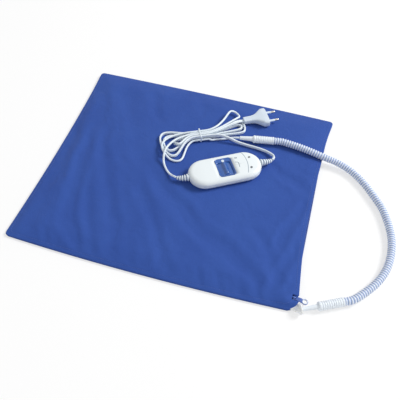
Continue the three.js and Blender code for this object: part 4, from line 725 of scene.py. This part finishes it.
brushed_cloth = new_finish("brushed_blue_polyester", 0.85, Sheen_Weight=0.05, Specular_IOR_Level=0.25)
tree, shader, place_on = opened(brushed_cloth)
dye = node(tree, "ShaderNodeTexNoise", {"Vector": place_on, "Scale": 14.0, "Detail": 4.0}).outputs[0]
links = {"Factor": dye, "A": linear("2d4d9d"), "B": linear("375aaa")}
tint = node(tree, "ShaderNodeMix", links, data_type="RGBA")
# The knit's wales and courses are 0.9 mm apart, coarser than the real knit so that they show
links = {"Vector": place_on, "Scale": 360.0, "Distortion": 1.2}
wales, courses = (
    node(tree, "ShaderNodeTexWave", links, bands_direction=way).outputs["Fac"] for way in "XY"
)
knit = node(tree, "ShaderNodeMath", {0: wales, 1: courses}, operation="MULTIPLY")
nap = node(tree, "ShaderNodeTexNoise", {"Vector": place_on, "Scale": 700.0, "Detail": 3.0, "Roughness": 0.7})
pile = node(tree, "ShaderNodeMath", {0: knit.outputs[0], 1: nap.outputs[0]}, operation="ADD").outputs[0]
shade = node(tree, "ShaderNodeMapRange", {"Value": pile, "From Max": 1.5, "To Min": 0.86, "To Max": 1.08})
tone = node(tree, "ShaderNodeHueSaturation", {"Color": tint.outputs["Result"], "Value": shade.outputs[0]})
tree.links.new(tone.outputs[0], shader.inputs["Base Color"])
links = {"Vector": place_on, "Scale": 42.0, "Detail": 3.0, "Distortion": 0.6}
creases = node(tree, "ShaderNodeTexNoise", links).outputs[0]
relief = node(tree, "ShaderNodeBump", {"Height": creases, "Strength": 0.6, "Distance": 0.0022}).outputs[0]
links = {"Height": pile, "Normal": relief, "Strength": 0.45, "Distance": 0.0003}
relief = node(tree, "ShaderNodeBump", links)
tree.links.new(relief.outputs[0], shader.inputs["Normal"])
cover = finished("pad_cover", cover_mesh, 70)
dress(cover, brushed_cloth, "body", "cover_cloth", "cover_top", "cover_bottom")

# Hem stitches. One line of lockstitch runs round the hem 5 mm in, in thread a little lighter than the cloth.
# Each stitch is a short rounded bar that lies in the groove it draws.
thread = new_finish("blue_thread", 0.7, Sheen_Weight=0.3)
tree, shader, place_on = opened(thread)
twist = node(tree, "ShaderNodeTexWave", {"Vector": place_on, "Scale": 500.0}, bands_direction="DIAGONAL")
links = {"Factor": twist.outputs["Fac"], "A": linear("3352a2"), "B": linear("4263b0")}
tint = node(tree, "ShaderNodeMix", links, data_type="RGBA")
tree.links.new(tint.outputs["Result"], shader.inputs["Base Color"])
stitch_mesh = bmesh.new()
stitch_pitch, stitch_length = 3.4, 2.4
seam = drawn_in(stitch_inset)
seam = evenly([Vector((x, y, 0)) for x, y in seam + seam[:1]], stitch_pitch)
for near, far in zip(seam, seam[1:]):
    along = (far - near).normalized()
    side = along.cross(Vector((0, 0, 1)))
    notched = near.x > 180 and -163.5 < near.y + side.y < -151
    for above in (False,) if notched else (True, False):
        rings = []
        for share, radius in ((0, 0.08), (0.12, 0.22), (0.5, 0.27), (0.88, 0.22), (1, 0.08)):
            point = near + along * ((stitch_pitch - stitch_length) / 2 + stitch_length * share)
            point.z = cover_height(point.x, point.y) + 0.05 if above else 0.3
            rings.append([point + side * radius * x + Vector((0, 0, radius * y)) for x, y in circle(6)])
        skin(stitch_mesh, rings)
stitches = finished("hem_stitches", stitch_mesh)
dress(stitches, thread, "body", "cover_cloth")

# Zip. A tape sewn under the right hem, with moulded teeth in one row and the slider at its near end.
# Tape and teeth are blue, and the slider is a casting lacquered blue, with an arched bail. The slider's blue
# is painted lighter than the tape's, as painted light where it lies in the notch's shade.
zip_plastic = new_finish("blue_zip_plastic", 0.42, mottle=(300.0, 3.0, "34529f", "4566b2"))
tree, shader, place_on = opened(zip_plastic)
ribbing = node(
    tree, "ShaderNodeTexWave", {"Vector": place_on, "Scale": 420.0, "Distortion": 0.6}, bands_direction="Y",
).outputs["Fac"]
relief = node(tree, "ShaderNodeBump", {"Height": ribbing, "Strength": 0.3, "Distance": 0.0002})
tree.links.new(relief.outputs[0], shader.inputs["Normal"])


def block(mesh, low, high, round_by=0.3):
    """A box between two corners, in millimetres, with rounded edges."""
    low, high = Vector(low), Vector(high)
    corners = bmesh.ops.create_cube(mesh, size=1)["verts"]
    size = (high - low) * mm
    seat = Matrix.Translation((low + high) / 2 * mm) @ Matrix.Diagonal((*size, 1))
    bmesh.ops.transform(mesh, verts=corners, matrix=seat)
    edges = list({edge for corner in corners for edge in corner.link_edges})
    bmesh.ops.bevel(
        mesh, geom=edges, offset=round_by * mm, segments=2, profile=0.5, affect="EDGES", material=-1,
    )


chain_x, slider_y = 191.1, -158
zip_mesh = bmesh.new()
block(zip_mesh, (187.5, -163, 1.9), (192.9, 56, 2.3), 0.1)
tooth_count, tooth_pitch = 68, 3.2
for tooth in range(tooth_count):
    start = -161.4 + tooth * tooth_pitch
    block(zip_mesh, (chain_x - 1.5, start, 2.2), (chain_x + 0.3, start + 1.7, 3.8), 0.35)
    block(zip_mesh, (chain_x - 0.3, start + 1.35, 2.2), (chain_x + 1.5, start + 3.05, 3.75), 0.35)
zip_teeth = finished("zip_chain_teeth", zip_mesh, 35)
dress(zip_teeth, zip_plastic, "body", "zip_chain", "zip_chain")

slider_mesh = bmesh.new()
plate = [(-2.4, -4), (2.4, -4), (3.1, 2.3), (2.3, 3.3), (1.2, 4), (-1.2, 4), (-2.3, 3.3), (-3.1, 2.3)]
skin(slider_mesh, [
    [(chain_x + x * size, slider_y + y * size, z) for x, y in plate]
    for size, z in ((0.9, 4.1), (1, 4.3), (1, 4.8), (0.93, 5))
])
for side in (-1, 1):
    cheek_x = chain_x + side * 2.5
    block(slider_mesh, (cheek_x - 0.55, slider_y - 3.1, 2.6), (cheek_x + 0.55, slider_y + 2.3, 4.6))
bail = [(-2.7, 4.8), (-2.7, 6.3), (-1.65, 7.4), (1.65, 7.4), (2.7, 6.3), (2.7, 4.8)]
bail = bends([Vector((chain_x + x, slider_y, z)) for x, z in bail], 0.4)
rings = []
for place, point in enumerate(bail):
    way = (bail[min(place + 1, len(bail) - 1)] - bail[max(place - 1, 0)]).normalized()
    out = way.cross(Vector((0, 1, 0)))
    rings.append([point + out * 0.45 * x + Vector((0, 0.8 * y, 0)) for x, y in circle(8, 22.5)])
skin(slider_mesh, rings)
# Painted light: this lacquer is a lighter blue than the zip's tape, to lighten the slider where it sits in
# shade in the notch
blue_lacquer_painted_light = new_finish(
    "blue_casting_with_painted_light", 0.35, mottle=(600.0, 3.0, "4465b4", "5476c4"),
    Coat_Weight=0.3, Coat_Roughness=0.2,
)
slider = finished("zip_slider_body", slider_mesh, 35)
dress(slider, blue_lacquer_painted_light, "zip", "zip_metal", "zip_slider")

# Pull. A blue tab stamped from sheet, with its bar under the slider's bail. It widens to a ring, and a pale
# grey eyelet is closed round the ring's hole.
pull_mesh = bmesh.new()
pivot, tab_thickness = Vector((chain_x, slider_y, 6.05)), 0.0012
drop = Matrix.Translation(pivot * mm) @ Matrix.Rotation(math.radians(4), 4, "Y")
ring_x, ring_y, ring_radius, hole_radius = 15, -1.5, 4, 2.6
ring = [math.radians(turn) for turn in range(-140, 141, 14)]
tab = [(-0.6, -2.5), (3, -2.66), (7, -3.2), (10.8, -4.1)]
tab += [(ring_x + ring_radius * math.cos(turn), ring_y + ring_radius * math.sin(turn)) for turn in ring]
tab += [(10.8, 2), (7, 2.3), (3, 2.45), (-0.6, 2.5)]
eye = [(0.6, -1.4), (3.5, -1.4), (3.5, 1.4), (0.6, 1.4)]
hole = [(ring_x + hole_radius * x, ring_y + hole_radius * y) for x, y in circle(28)]
edges = []
for loop in (tab, eye, hole):
    corners = [pull_mesh.verts.new((x * mm, y * mm, -tab_thickness / 2)) for x, y in loop]
    edges += [pull_mesh.edges.new((one, two)) for one, two in zip(corners, corners[1:] + corners[:1])]
bmesh.ops.triangle_fill(pull_mesh, edges=edges, use_beauty=True)
raised = bmesh.ops.extrude_face_region(pull_mesh, geom=pull_mesh.faces[:])["geom"]
raised = [part for part in raised if isinstance(part, bmesh.types.BMVert)]
bmesh.ops.translate(pull_mesh, verts=raised, vec=(0, 0, tab_thickness))
bmesh.ops.recalc_face_normals(pull_mesh, faces=pull_mesh.faces[:])
rims = [
    edge for edge in pull_mesh.edges
    if edge.calc_face_angle(0) > 1.2 and abs(edge.verts[0].co.z - edge.verts[1].co.z) < 1e-6
]
bmesh.ops.bevel(pull_mesh, geom=rims, offset=0.0002, segments=2, profile=0.5, affect="EDGES", material=-1)
bmesh.ops.transform(pull_mesh, verts=pull_mesh.verts[:], matrix=drop)
pull = finished("zip_pull_tab", pull_mesh, 35)
dress(pull, zip_plastic, "pull", "zip_chain", "zip_pull")
grey_casting = new_finish(
    "grey_zip_casting", 0.38, wear=(500.0, 5.0, 0.28, 0.5), Metallic=0.85, Base_Color=linear("a7aeb8"),
)
eyelet_rows = (
    (2.45, 0), (2.55, 0.62), (2.9, 0.82), (3.35, 0.72), (3.45, 0.5),
    (3.45, -0.5), (3.35, -0.72), (2.9, -0.82), (2.55, -0.62),
)
eyelet_mesh = bmesh.new()
skin(eyelet_mesh, [
    [(ring_x + radius * x, ring_y + radius * y, z) for radius, z in eyelet_rows] for x, y in circle(40)
], closed=True)
bmesh.ops.transform(eyelet_mesh, verts=eyelet_mesh.verts[:], matrix=drop)
eyelet = finished("zip_pull_eyelet", eyelet_mesh, 45)
dress(eyelet, grey_casting, "pull", "zip_metal")

# Controller. Two half shells of glossy white ABS that meet at a thin parting line. The upper one is domed,
# with a rounded window for the switch. A curved seam and two small printed marks stand right of the window.
white_shell = new_finish("glossy_white_abs", 0.24, Coat_Weight=0.25, Coat_Roughness=0.12)
tree, shader, place_on = opened(white_shell)
# The seam is an arc drawn in the controller's own frame, kept to the right of the window
turned_centre = Matrix.Rotation(-body_heading, 3, "Z") @ Vector((centre.x * mm, centre.y * mm, 0))
links = {"Vector": place_on, "Rotation": (0, 0, -body_heading)}
links["Location"] = (-turned_centre.x, -turned_centre.y, 0)
local = node(tree, "ShaderNodeMapping", links, vector_type="POINT").outputs[0]
spread = node(tree, "ShaderNodeVectorMath", {0: local, 1: (-0.0195, 0.0045, 0)}, operation="SUBTRACT")
spread = node(tree, "ShaderNodeVectorMath", {0: spread.outputs[0], 1: (1, 1, 0)}, operation="MULTIPLY")
reach = node(tree, "ShaderNodeVectorMath", {0: spread.outputs[0]}, operation="LENGTH")
off_seam = node(tree, "ShaderNodeMath", {0: reach.outputs["Value"], 1: 0.0535}, operation="SUBTRACT")
off_seam = node(tree, "ShaderNodeMath", {0: off_seam.outputs[0]}, operation="ABSOLUTE").outputs[0]
ramp = {"Value": off_seam, "From Min": 0.0002, "From Max": 0.0006, "To Min": 1.0, "To Max": 0.0}
seam = node(tree, "ShaderNodeMapRange", ramp).outputs[0]
apart = node(tree, "ShaderNodeSeparateXYZ", {0: local}).outputs
for axis, least in (("X", 0.02), ("Y", -0.0195)):
    kept = node(tree, "ShaderNodeMath", {0: apart[axis], 1: least}, operation="GREATER_THAN").outputs[0]
    seam = node(tree, "ShaderNodeMath", {0: seam, 1: kept}, operation="MULTIPLY").outputs[0]
links = {"Factor": seam, "A": linear("eaf1f4"), "B": linear("8496a6")}
tint = node(tree, "ShaderNodeMix", links, data_type="RGBA")
tree.links.new(tint.outputs["Result"], shader.inputs["Base Color"])
peel = node(tree, "ShaderNodeTexNoise", {"Vector": place_on, "Scale": 240.0, "Detail": 2.0}).outputs[0]
relief = node(tree, "ShaderNodeBump", {"Height": peel, "Strength": 0.12, "Distance": 0.0002}).outputs[0]
links = {"Height": seam, "Normal": relief, "Strength": 0.6, "Distance": 0.0003}
relief = node(tree, "ShaderNodeBump", links, invert=True)
tree.links.new(relief.outputs[0], shader.inputs["Normal"])
body_radius, body_reach = 25, 30.5
seat_z, crown_z, crown_rise = 8.7, 15.5, 0.8
dome_inset, dome_rise, base_rise, base_inset = 8, 6.8, 7.6, 6


def body_ring(inset, height):
    """The controller's plan, a long rounded shape, drawn in by an inset."""
    radius = body_radius - inset
    ring = []
    for end, first in ((1, -90), (-1, 90)):
        for step in range(25):
            turn = math.radians(first + 7.5 * step)
            ring.append((end * body_reach + radius * math.cos(turn), radius * math.sin(turn)))
        for share in (0.2, 0.4, 0.6, 0.8):
            ring.append((end * body_reach * (1 - 2 * share), end * radius))
    return [on_body(x, y, height) for x, y in ring]


def quarter(inset, rise, steps=9):
    """A quarter of an ellipse, as insets and rises from its foot."""
    turns = [math.pi / 2 * step / steps for step in range(steps + 1)]
    return [(inset * (1 - math.cos(turn)), rise * math.sin(turn)) for turn in turns]


upper_rows = [(2.2, 8.3), (0.35, 8.3), (0.1, 8.42), (0, seat_z)]
upper_rows += [(inset, seat_z + rise) for inset, rise in quarter(dome_inset, dome_rise)[1:]]
for share in (0.12, 0.25, 0.4, 0.55, 0.7, 0.85, 0.97):
    inset = dome_inset + (body_radius - dome_inset) * share
    upper_rows.append((inset, crown_z + crown_rise * (1 - (1 - share) ** 2)))
inner_rows = [(2.2 + inset, 8.3 + rise) for inset, rise in quarter(dome_inset, 6.3, 5)]
upper_shell = skinned("upper_shell", [body_ring(*row) for row in upper_rows[::-1] + inner_rows], 50)
lower_rows = [(2.2 + inset, 8 - rise) for inset, rise in quarter(base_inset, 6, 5)][::-1]
lower_rows += [(0.35, 8), (0.1, 7.9), (0, base_rise)]
lower_rows += [(inset, base_rise - rise) for inset, rise in quarter(base_inset, base_rise)[1:]]
lower_shell = skinned("lower_shell", [body_ring(*row) for row in lower_rows], 50)


def rounded_plan(length, width, corner, x=-0.5, y=0.0, steps=8):
    """A rectangle with round corners in the controller's own frame."""
    plan = []
    for turn, (right, far) in enumerate(((1, -1), (1, 1), (-1, 1), (-1, -1))):
        for step in range(steps + 1):
            angle = math.radians(-90 + 90 * turn + 90 * step / steps)
            plan.append((
                x + right * (length / 2 - corner) + corner * math.cos(angle),
                y + far * (width / 2 - corner) + corner * math.sin(angle),
            ))
    return plan


def cut(piece, cutter_mesh):
    """Takes the cutter's room out of a piece."""
    cutter = finished("cutter", cutter_mesh)
    taking = piece.modifiers.new("cut", "BOOLEAN")
    taking.object = cutter
    taking.solver = "EXACT"
    bpy.context.view_layer.update()
    whole = bpy.data.meshes.new_from_object(piece.evaluated_get(bpy.context.evaluated_depsgraph_get()))
    piece.modifiers.clear()
    piece.data = whole
    bpy.data.objects.remove(cutter)


window_y = -0.75
window_hole = bmesh.new()
skin(window_hole, [
    [on_body(x, y, z) for x, y in rounded_plan(25.1, 34.3, 4.5, y=window_y)] for z in (6.5, 20)
])
cut(upper_shell, window_hole)
for way in (body_heading + math.pi, body_heading):
    for shell in (upper_shell, lower_shell):
        neck_hole = bmesh.new()
        spun(neck_hole, [(47, 0.1), (47, 4), (60, 4), (60, 0.1)], on_body(0, 0, 8.3), way, 24)
        cut(shell, neck_hole)
dress(upper_shell, white_shell, "body", "housing_plastic", "housing_upper")
dress(lower_shell, white_shell, "body", "housing_plastic", "housing_lower")

# Marks and screws. Two small grey marks are printed beside the window, and two cross-head screws of bright
# steel hold the shells together from below.
mark_ink = new_finish("grey_mark_ink", 0.5, mottle=(1500.0, 2.0, "5f7080", "7a8b9c"))


def shell_height(across):
    """The upper shell's height over its straight middle."""
    inset = body_radius - abs(across)
    if inset < dome_inset:
        return seat_z + dome_rise * math.sqrt(max(1 - (1 - inset / dome_inset) ** 2, 0))
    return crown_z + crown_rise * (1 - (1 - (inset - dome_inset) / (body_radius - dome_inset)) ** 2)


mark_mesh = bmesh.new()
for stroke in (
    [(18.3, 13.1), (21.1, 13.1), (21.1, 11.5), (18.3, 11.5), (18.3, 13.1)],
    [(15.8, 4.4), (19.6, 3.6), (20.9, 2.0), (20.7, -1.2), (20.1, -5.9)],
):
    mark_line = evenly([on_body(x, y, shell_height(y) + 0.02) for x, y in stroke], 0.4)
    rings = []
    for place, point in enumerate(mark_line):
        way = mark_line[min(place + 1, len(mark_line) - 1)] - mark_line[max(place - 1, 0)]
        side = way.cross(Vector((0, 0, 1))).normalized() * 0.4
        corners = ((-1, -1), (1, -1), (1, 1), (-1, 1))
        rings.append([point + side * x + Vector((0, 0, 0.05 * y)) for x, y in corners])
    skin(mark_mesh, rings)
marks = finished("printed_marks", mark_mesh, 30)
dress(marks, mark_ink, "body", "dot_ink")

screw_steel = new_finish(
    "screw_steel", 0.3, wear=(1800.0, 2.0, 0.22, 0.42), Metallic=1.0, Base_Color=linear("b9bcc2"),
)
screw_mesh = bmesh.new()
for screw_x in (-33, 33):
    rings = []
    for radius, z in ((0.6, 0.75), (0.6, 0.3), (1.9, 0.3), (2.4, 0.1), (2.5, -0.05), (2.5, -0.6)):
        ring = []
        for x, y in circle(32):
            # The socket's own rings are drawn in between the arms of its cross
            cross = 0.25 + 0.975 * max(abs(x * x - y * y), 0.35) if radius < 1 else 1
            ring.append(on_body(screw_x + radius * x * cross, radius * y * cross, 0.72 - z))
        rings.append(ring)
    skin(screw_mesh, rings)
screws = finished("base_screws", screw_mesh, 40)
dress(screws, screw_steel, "body", "contact_brass")

# Window frame. A mid-blue bezel let into the shell: a raised round rim, then borders that slope down to the
# opening. The far border is wider and carries the white dot that marks the setting.
blue_bezel = new_finish(
    "blue_bezel_plastic", 0.3, mottle=(180.0, 3.0, "2b559c", "3663b0"), grain=(1100.0, 2.0, 0.25, 0.00012),
    Coat_Weight=0.2, Coat_Roughness=0.2,
)
rings = []
for length, width, y, corner, z in (
    (24.2, 33.4, window_y, 4.1, 14.25), (24.7, 33.9, window_y, 4.3, 16.2), (24.7, 33.9, window_y, 4.3, 16.6),
    (24.3, 33.5, window_y, 4.1, 16.9), (23.7, 32.9, window_y, 3.9, 17), (23.1, 32.3, window_y, 3.6, 16.9),
    (22.6, 31.8, -0.8, 3.4, 16.6), (22.1, 30.9, -1.05, 3.2, 16.4), (20.9, 26.2, -2.75, 3, 15.8),
    (20.4, 25.5, -2.9, 2.8, 15.6), (19.9, 24.9, -3, 2.7, 15.2), (19.8, 24.7, -3, 2.6, 14.25),
):
    # The frame follows the shell's crown, and its lower edge is level
    rings.append([
        on_body(px, py, z + (shell_height(py) - crown_z - crown_rise if z > 15 else 0))
        for px, py in rounded_plan(length, width, corner, y=y)
    ])
bezel = skinned("window_bezel", rings, 60, closed=True)
dress(bezel, blue_bezel, "body", "window_plastic", "switch_window")
dot_ink = new_finish("white_dot_ink", 0.4, mottle=(900.0, 2.0, "cfdbe6", "e2ebf3"))
dot = skinned("setting_dot", [
    [on_body(-0.5 + radius * x, 11.6 + radius * y, z + 0.1 * radius * y) for x, y in circle(32)]
    for radius, z in ((2.3, 14.8), (2.3, 15.55), (2.15, 15.7), (1.8, 15.78), (0.8, 15.8))
], 50)
dress(dot, dot_ink, "body", "dot_ink", "position_dot")

# Thumb switch. One moulded blue slider: a plate that closes the window from below, with a rounded crest for
# the thumb that runs out gently towards the near side. It slides along the controller with three settings.
thumb_plastic = new_finish(
    "blue_thumb_switch", 0.27, mottle=(260.0, 3.0, "2a5298", "3767b2"), grain=(260.0, 3.0, 0.2, 0.0002),
    Coat_Weight=0.3, Coat_Roughness=0.15,
)
plate_x, plate_y, plate_top = -0.5, -3.3, 14
plan = rounded_plan(28, 26.4, 3, y=plate_y)
small = [(plate_x + (x - plate_x) * 0.985, plate_y + (y - plate_y) * 0.985) for x, y in plan]
thumb_mesh = bmesh.new()
skin(thumb_mesh, [
    [on_body(x, y, z) for x, y in level] for level, z in ((plan, 11.6), (plan, 13.8), (small, plate_top))
])
crest_near, crest_far, crest_half_width, crest_foot = -13.6, 9.1, 5.4, 13.6
rings = []
for x in [step * 0.45 - crest_half_width for step in range(25)]:
    crest = 3.1 * max(1 - (x / crest_half_width) ** 2, 0) ** (3 if x < 0 else 2) + 0.05
    ring = [(crest_near, crest_foot), (crest_far, crest_foot)]
    for end, way, round_by in ((crest_far, -1, 1.4), (crest_near, 1, 3.2)):
        ring += [
            (end + way * inset, plate_top + rise) for inset, rise in quarter(round_by, crest, 8)[::-way]
        ]
    rings.append([on_body(x + plate_x, y, z) for y, z in ring])
skin(thumb_mesh, rings)
thumb = finished("thumb_slider", thumb_mesh, 50)
dress(thumb, thumb_plastic, "switch", "window_plastic", "switch_slider")

# Lamps. Two round indicators right of the window. Each is a thin grey ring round a dished lens of clear
# plastic that is dark in its middle.
lens_plastic = new_finish(
    "grey_lamp_lens", 0.22, marked=("middle", "b6bfc6", "4c4f54"), grain=(900.0, 2.0, 0.2, 0.0001),
    Coat_Weight=0.4, Coat_Roughness=0.08,
)
lamp_rows = (
    (2, -1.2), (2, 0.25), (1.9, 0.4), (1.7, 0.45), (1.5, 0.36),
    (1.35, 0.2), (0.9, 0.1), (0.4, 0.06), (0.1, 0.05),
)
for name, lamp_x, lamp_y, cad_name in (
    ("lamp_on_far_side", 39.5, 8.6, "lamp_far"), ("lamp_on_near_side", 36.6, -10.8, "lamp_near"),
):
    lift = shell_height(math.hypot(lamp_x - body_reach, lamp_y))
    lamp_piece = skinned(name, [
        [on_body(lamp_x + radius * x, lamp_y + radius * y, lift + rise) for x, y in circle(32)]
        for radius, rise in lamp_rows
    ], 60)
    mark(lamp_piece, "middle", [int(row >= 4) for row in range(len(lamp_rows)) for _ in range(32)])
    dress(lamp_piece, lens_plastic, "body", "lamp_lens", cad_name)

# Strain reliefs. Ribbed cones of pale rubber, each moulded on its lead. They are held in the shell's ends by
# a collar and bend with their leads.
# Painted shade: the grooves between the ribs are coloured darker than the ribs, blended by each point's ridge
# share
relief_rubber = new_finish(
    "pale_relief_rubber", 0.5, marked=("rib", "8ea0b8", "e6eff5"), grain=(1000.0, 2.0, 0.3, 0.0001),
)
collar, neck, relief_sides, relief_ribs = 8.8, 7.4, 28, 5
for side, tip, name, cad_name in (
    (-1, left_tip, "relief_on_left", "relief_left"), (1, right_tip, "relief_on_right", "relief_right"),
):
    one, four = on_body(side * 55.8, 0, 8.3), tip[0]
    pull_back = (four - one).length * 0.35
    two, three = one + heading(body_heading, side * pull_back), four - heading(tip[1], pull_back)
    line = [on_body(side * along, 0, 8.3) for along in (46.5, 48.3, 48.6, 55)]
    sizes, ridges = [collar, collar, neck, neck], [1] * 4
    for step in range(101):
        t = step / 100
        s = 1 - t
        line.append(one * s**3 + two * 3 * t * s**2 + three * 3 * t**2 * s + four * t**3)
        rib_place = t * relief_ribs % 1
        ridge = smooth(rib_place * 8) * smooth((0.66 - rib_place) * 8)
        ridges.append(ridge)
        sizes.append(11 - 5.8 * t - 2.6 * (1 - ridge) * (1 - 0.35 * t))
    relief = sweep(name, line, round_section(1, relief_sides), sizes=sizes, sharp=60)
    # Each point's ridge share sets how much painted groove shade it gets
    mark(relief, "rib", [ridge for ridge in ridges for _ in range(relief_sides)])
    dress(relief, relief_rubber, "body", "relief_rubber", cad_name)

# Plug. A flat two-pin plug of white PVC that swells from its collar to its face, with soft edges and two grip
# grooves. The pins are nickel-plated brass in white sleeves and lean together a little.
plug_vinyl = new_finish(
    "white_plug_vinyl", 0.38, mottle=(60.0, 4.0, "c9d6e4", "dbe6f1"), grain=(850.0, 2.0, 0.22, 0.00012),
)
plug_length, plug_half_width, plug_half_height, corner_power = 38.5, 16.8, 6.85, 2 / 4.2
pin_away, pin_lean = 9.3, math.radians(1.5)
plug_side = heading(plug_heading + math.pi / 2)
profile = bends([
    (0, 0.31, 0.6), (0.12, 0.32, 0.61), (0.25, 0.33, 0.64), (0.36, 0.35, 0.68), (0.46, 0.41, 0.73),
    (0.55, 0.51, 0.8), (0.64, 0.67, 0.87), (0.72, 0.83, 0.93), (0.78, 0.94, 0.97), (0.82, 0.985, 1),
    (0.86, 1, 1), (0.985, 1, 1),
    (0.995, 0.985, 0.98), (1, 0.965, 0.95),
], 0.008)
rings = []
for share, wide, high in [(0.0, 0.22, 0.5)] + [tuple(point) for point in profile]:
    groove = 0.025 * math.exp(-(((share - 0.3) / 0.012) ** 2))
    groove += 0.02 * math.exp(-(((share - 0.84) / 0.01) ** 2))
    middle = plug_entry + heading(plug_heading, plug_length * share)
    ring = []
    for out, up in circle(56):
        x = math.copysign(abs(out) ** corner_power, out) * plug_half_width * (wide - groove)
        z = math.copysign(abs(up) ** corner_power, up) * plug_half_height * (high - groove)
        ring.append(middle + plug_side * x + Vector((0, 0, z)))
    rings.append(ring)
plug = skinned("flat_plug", rings, 55)
dress(plug, plug_vinyl, "body", "plug_vinyl", "plug_body")
nickel = new_finish(
    "nickel_plated_pin", 0.2, wear=(700.0, 4.0, 0.14, 0.34), Metallic=1.0, Base_Color=linear("c9c6c0"),
)
pin_rows = softened([(9.5, 0.2), (9.5, 1.75), (15.6, 1.75), (17.1, 1.2), (17.5, 0.5), (17.5, 0.05)], 0.5)
sleeve_rows = [(-0.6, 0.3), (-0.6, 1.85), (0.3, 1.85), (10, 1.82), (10.3, 1.7), (10.3, 0.3)]
plug_pieces = [plug]
for side, word in ((1, "left"), (-1, "right")):
    root = plug_entry + heading(plug_heading, plug_length) + plug_side * side * pin_away
    for name, rows, sharp, finish, slot, cad_nodes in (
        ("pin_" + word, pin_rows, 60, nickel, "pin_metal", ["plug_pin_" + word]),
        ("pin_sleeve_" + word, sleeve_rows, 50, plug_vinyl, "plug_vinyl", []),
    ):
        turned = bmesh.new()
        spun(turned, rows, root, plug_heading - side * pin_lean, 28)
        plug_pieces.append(finished(name, turned, sharp))
        dress(plug_pieces[-1], finish, "body", slot, *cad_nodes)

# Inside the pad and the controller. Two felts with the heating wire and its cut-outs between them lie in a
# thin inner bag, and the controller holds a board with the switch contacts and two moulded clamps. Their CAD
# shapes stay, with real finishes.
hidden = [(plug_vinyl, ("cord_clamp_left", "cord_clamp_right"))]
for name, rough, scale, low, high, strength, members in (
    ("inner_bag_cloth", 0.9, 900.0, "cfe4ee", "e4f1f6", 0.4, ("inner_sheet_lower", "inner_sheet_upper")),
    ("white_felt", 0.95, 420.0, "dfe3e4", "f2f4f3", 0.9, ("felt_lower", "felt_upper")),
    ("silicone_wire", 0.45, 700.0, "c9b9a6", "dccdb8", 0.2, ("heating_wire",)),
    ("cut_out_case", 0.4, 800.0, "8d9299", "a3a8ae", 0.3, ("thermal_cutout_left", "thermal_cutout_right")),
    ("green_board", 0.35, 300.0, "2f6b46", "3d8056", 0.15, ("circuit_board",)),
    ("contact_plastic", 0.35, 500.0, "b08c4a", "c7a25c", 0.2, ("switch_contacts",)),
):
    inside = new_finish(name, rough, mottle=(scale, 4.0, low, high), grain=(scale, 4.0, strength, 0.0003))
    hidden.append((inside, members))
for finish, members in hidden:
    for member in members:
        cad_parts[member].data.materials.clear()
        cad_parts[member].data.materials.append(finish)
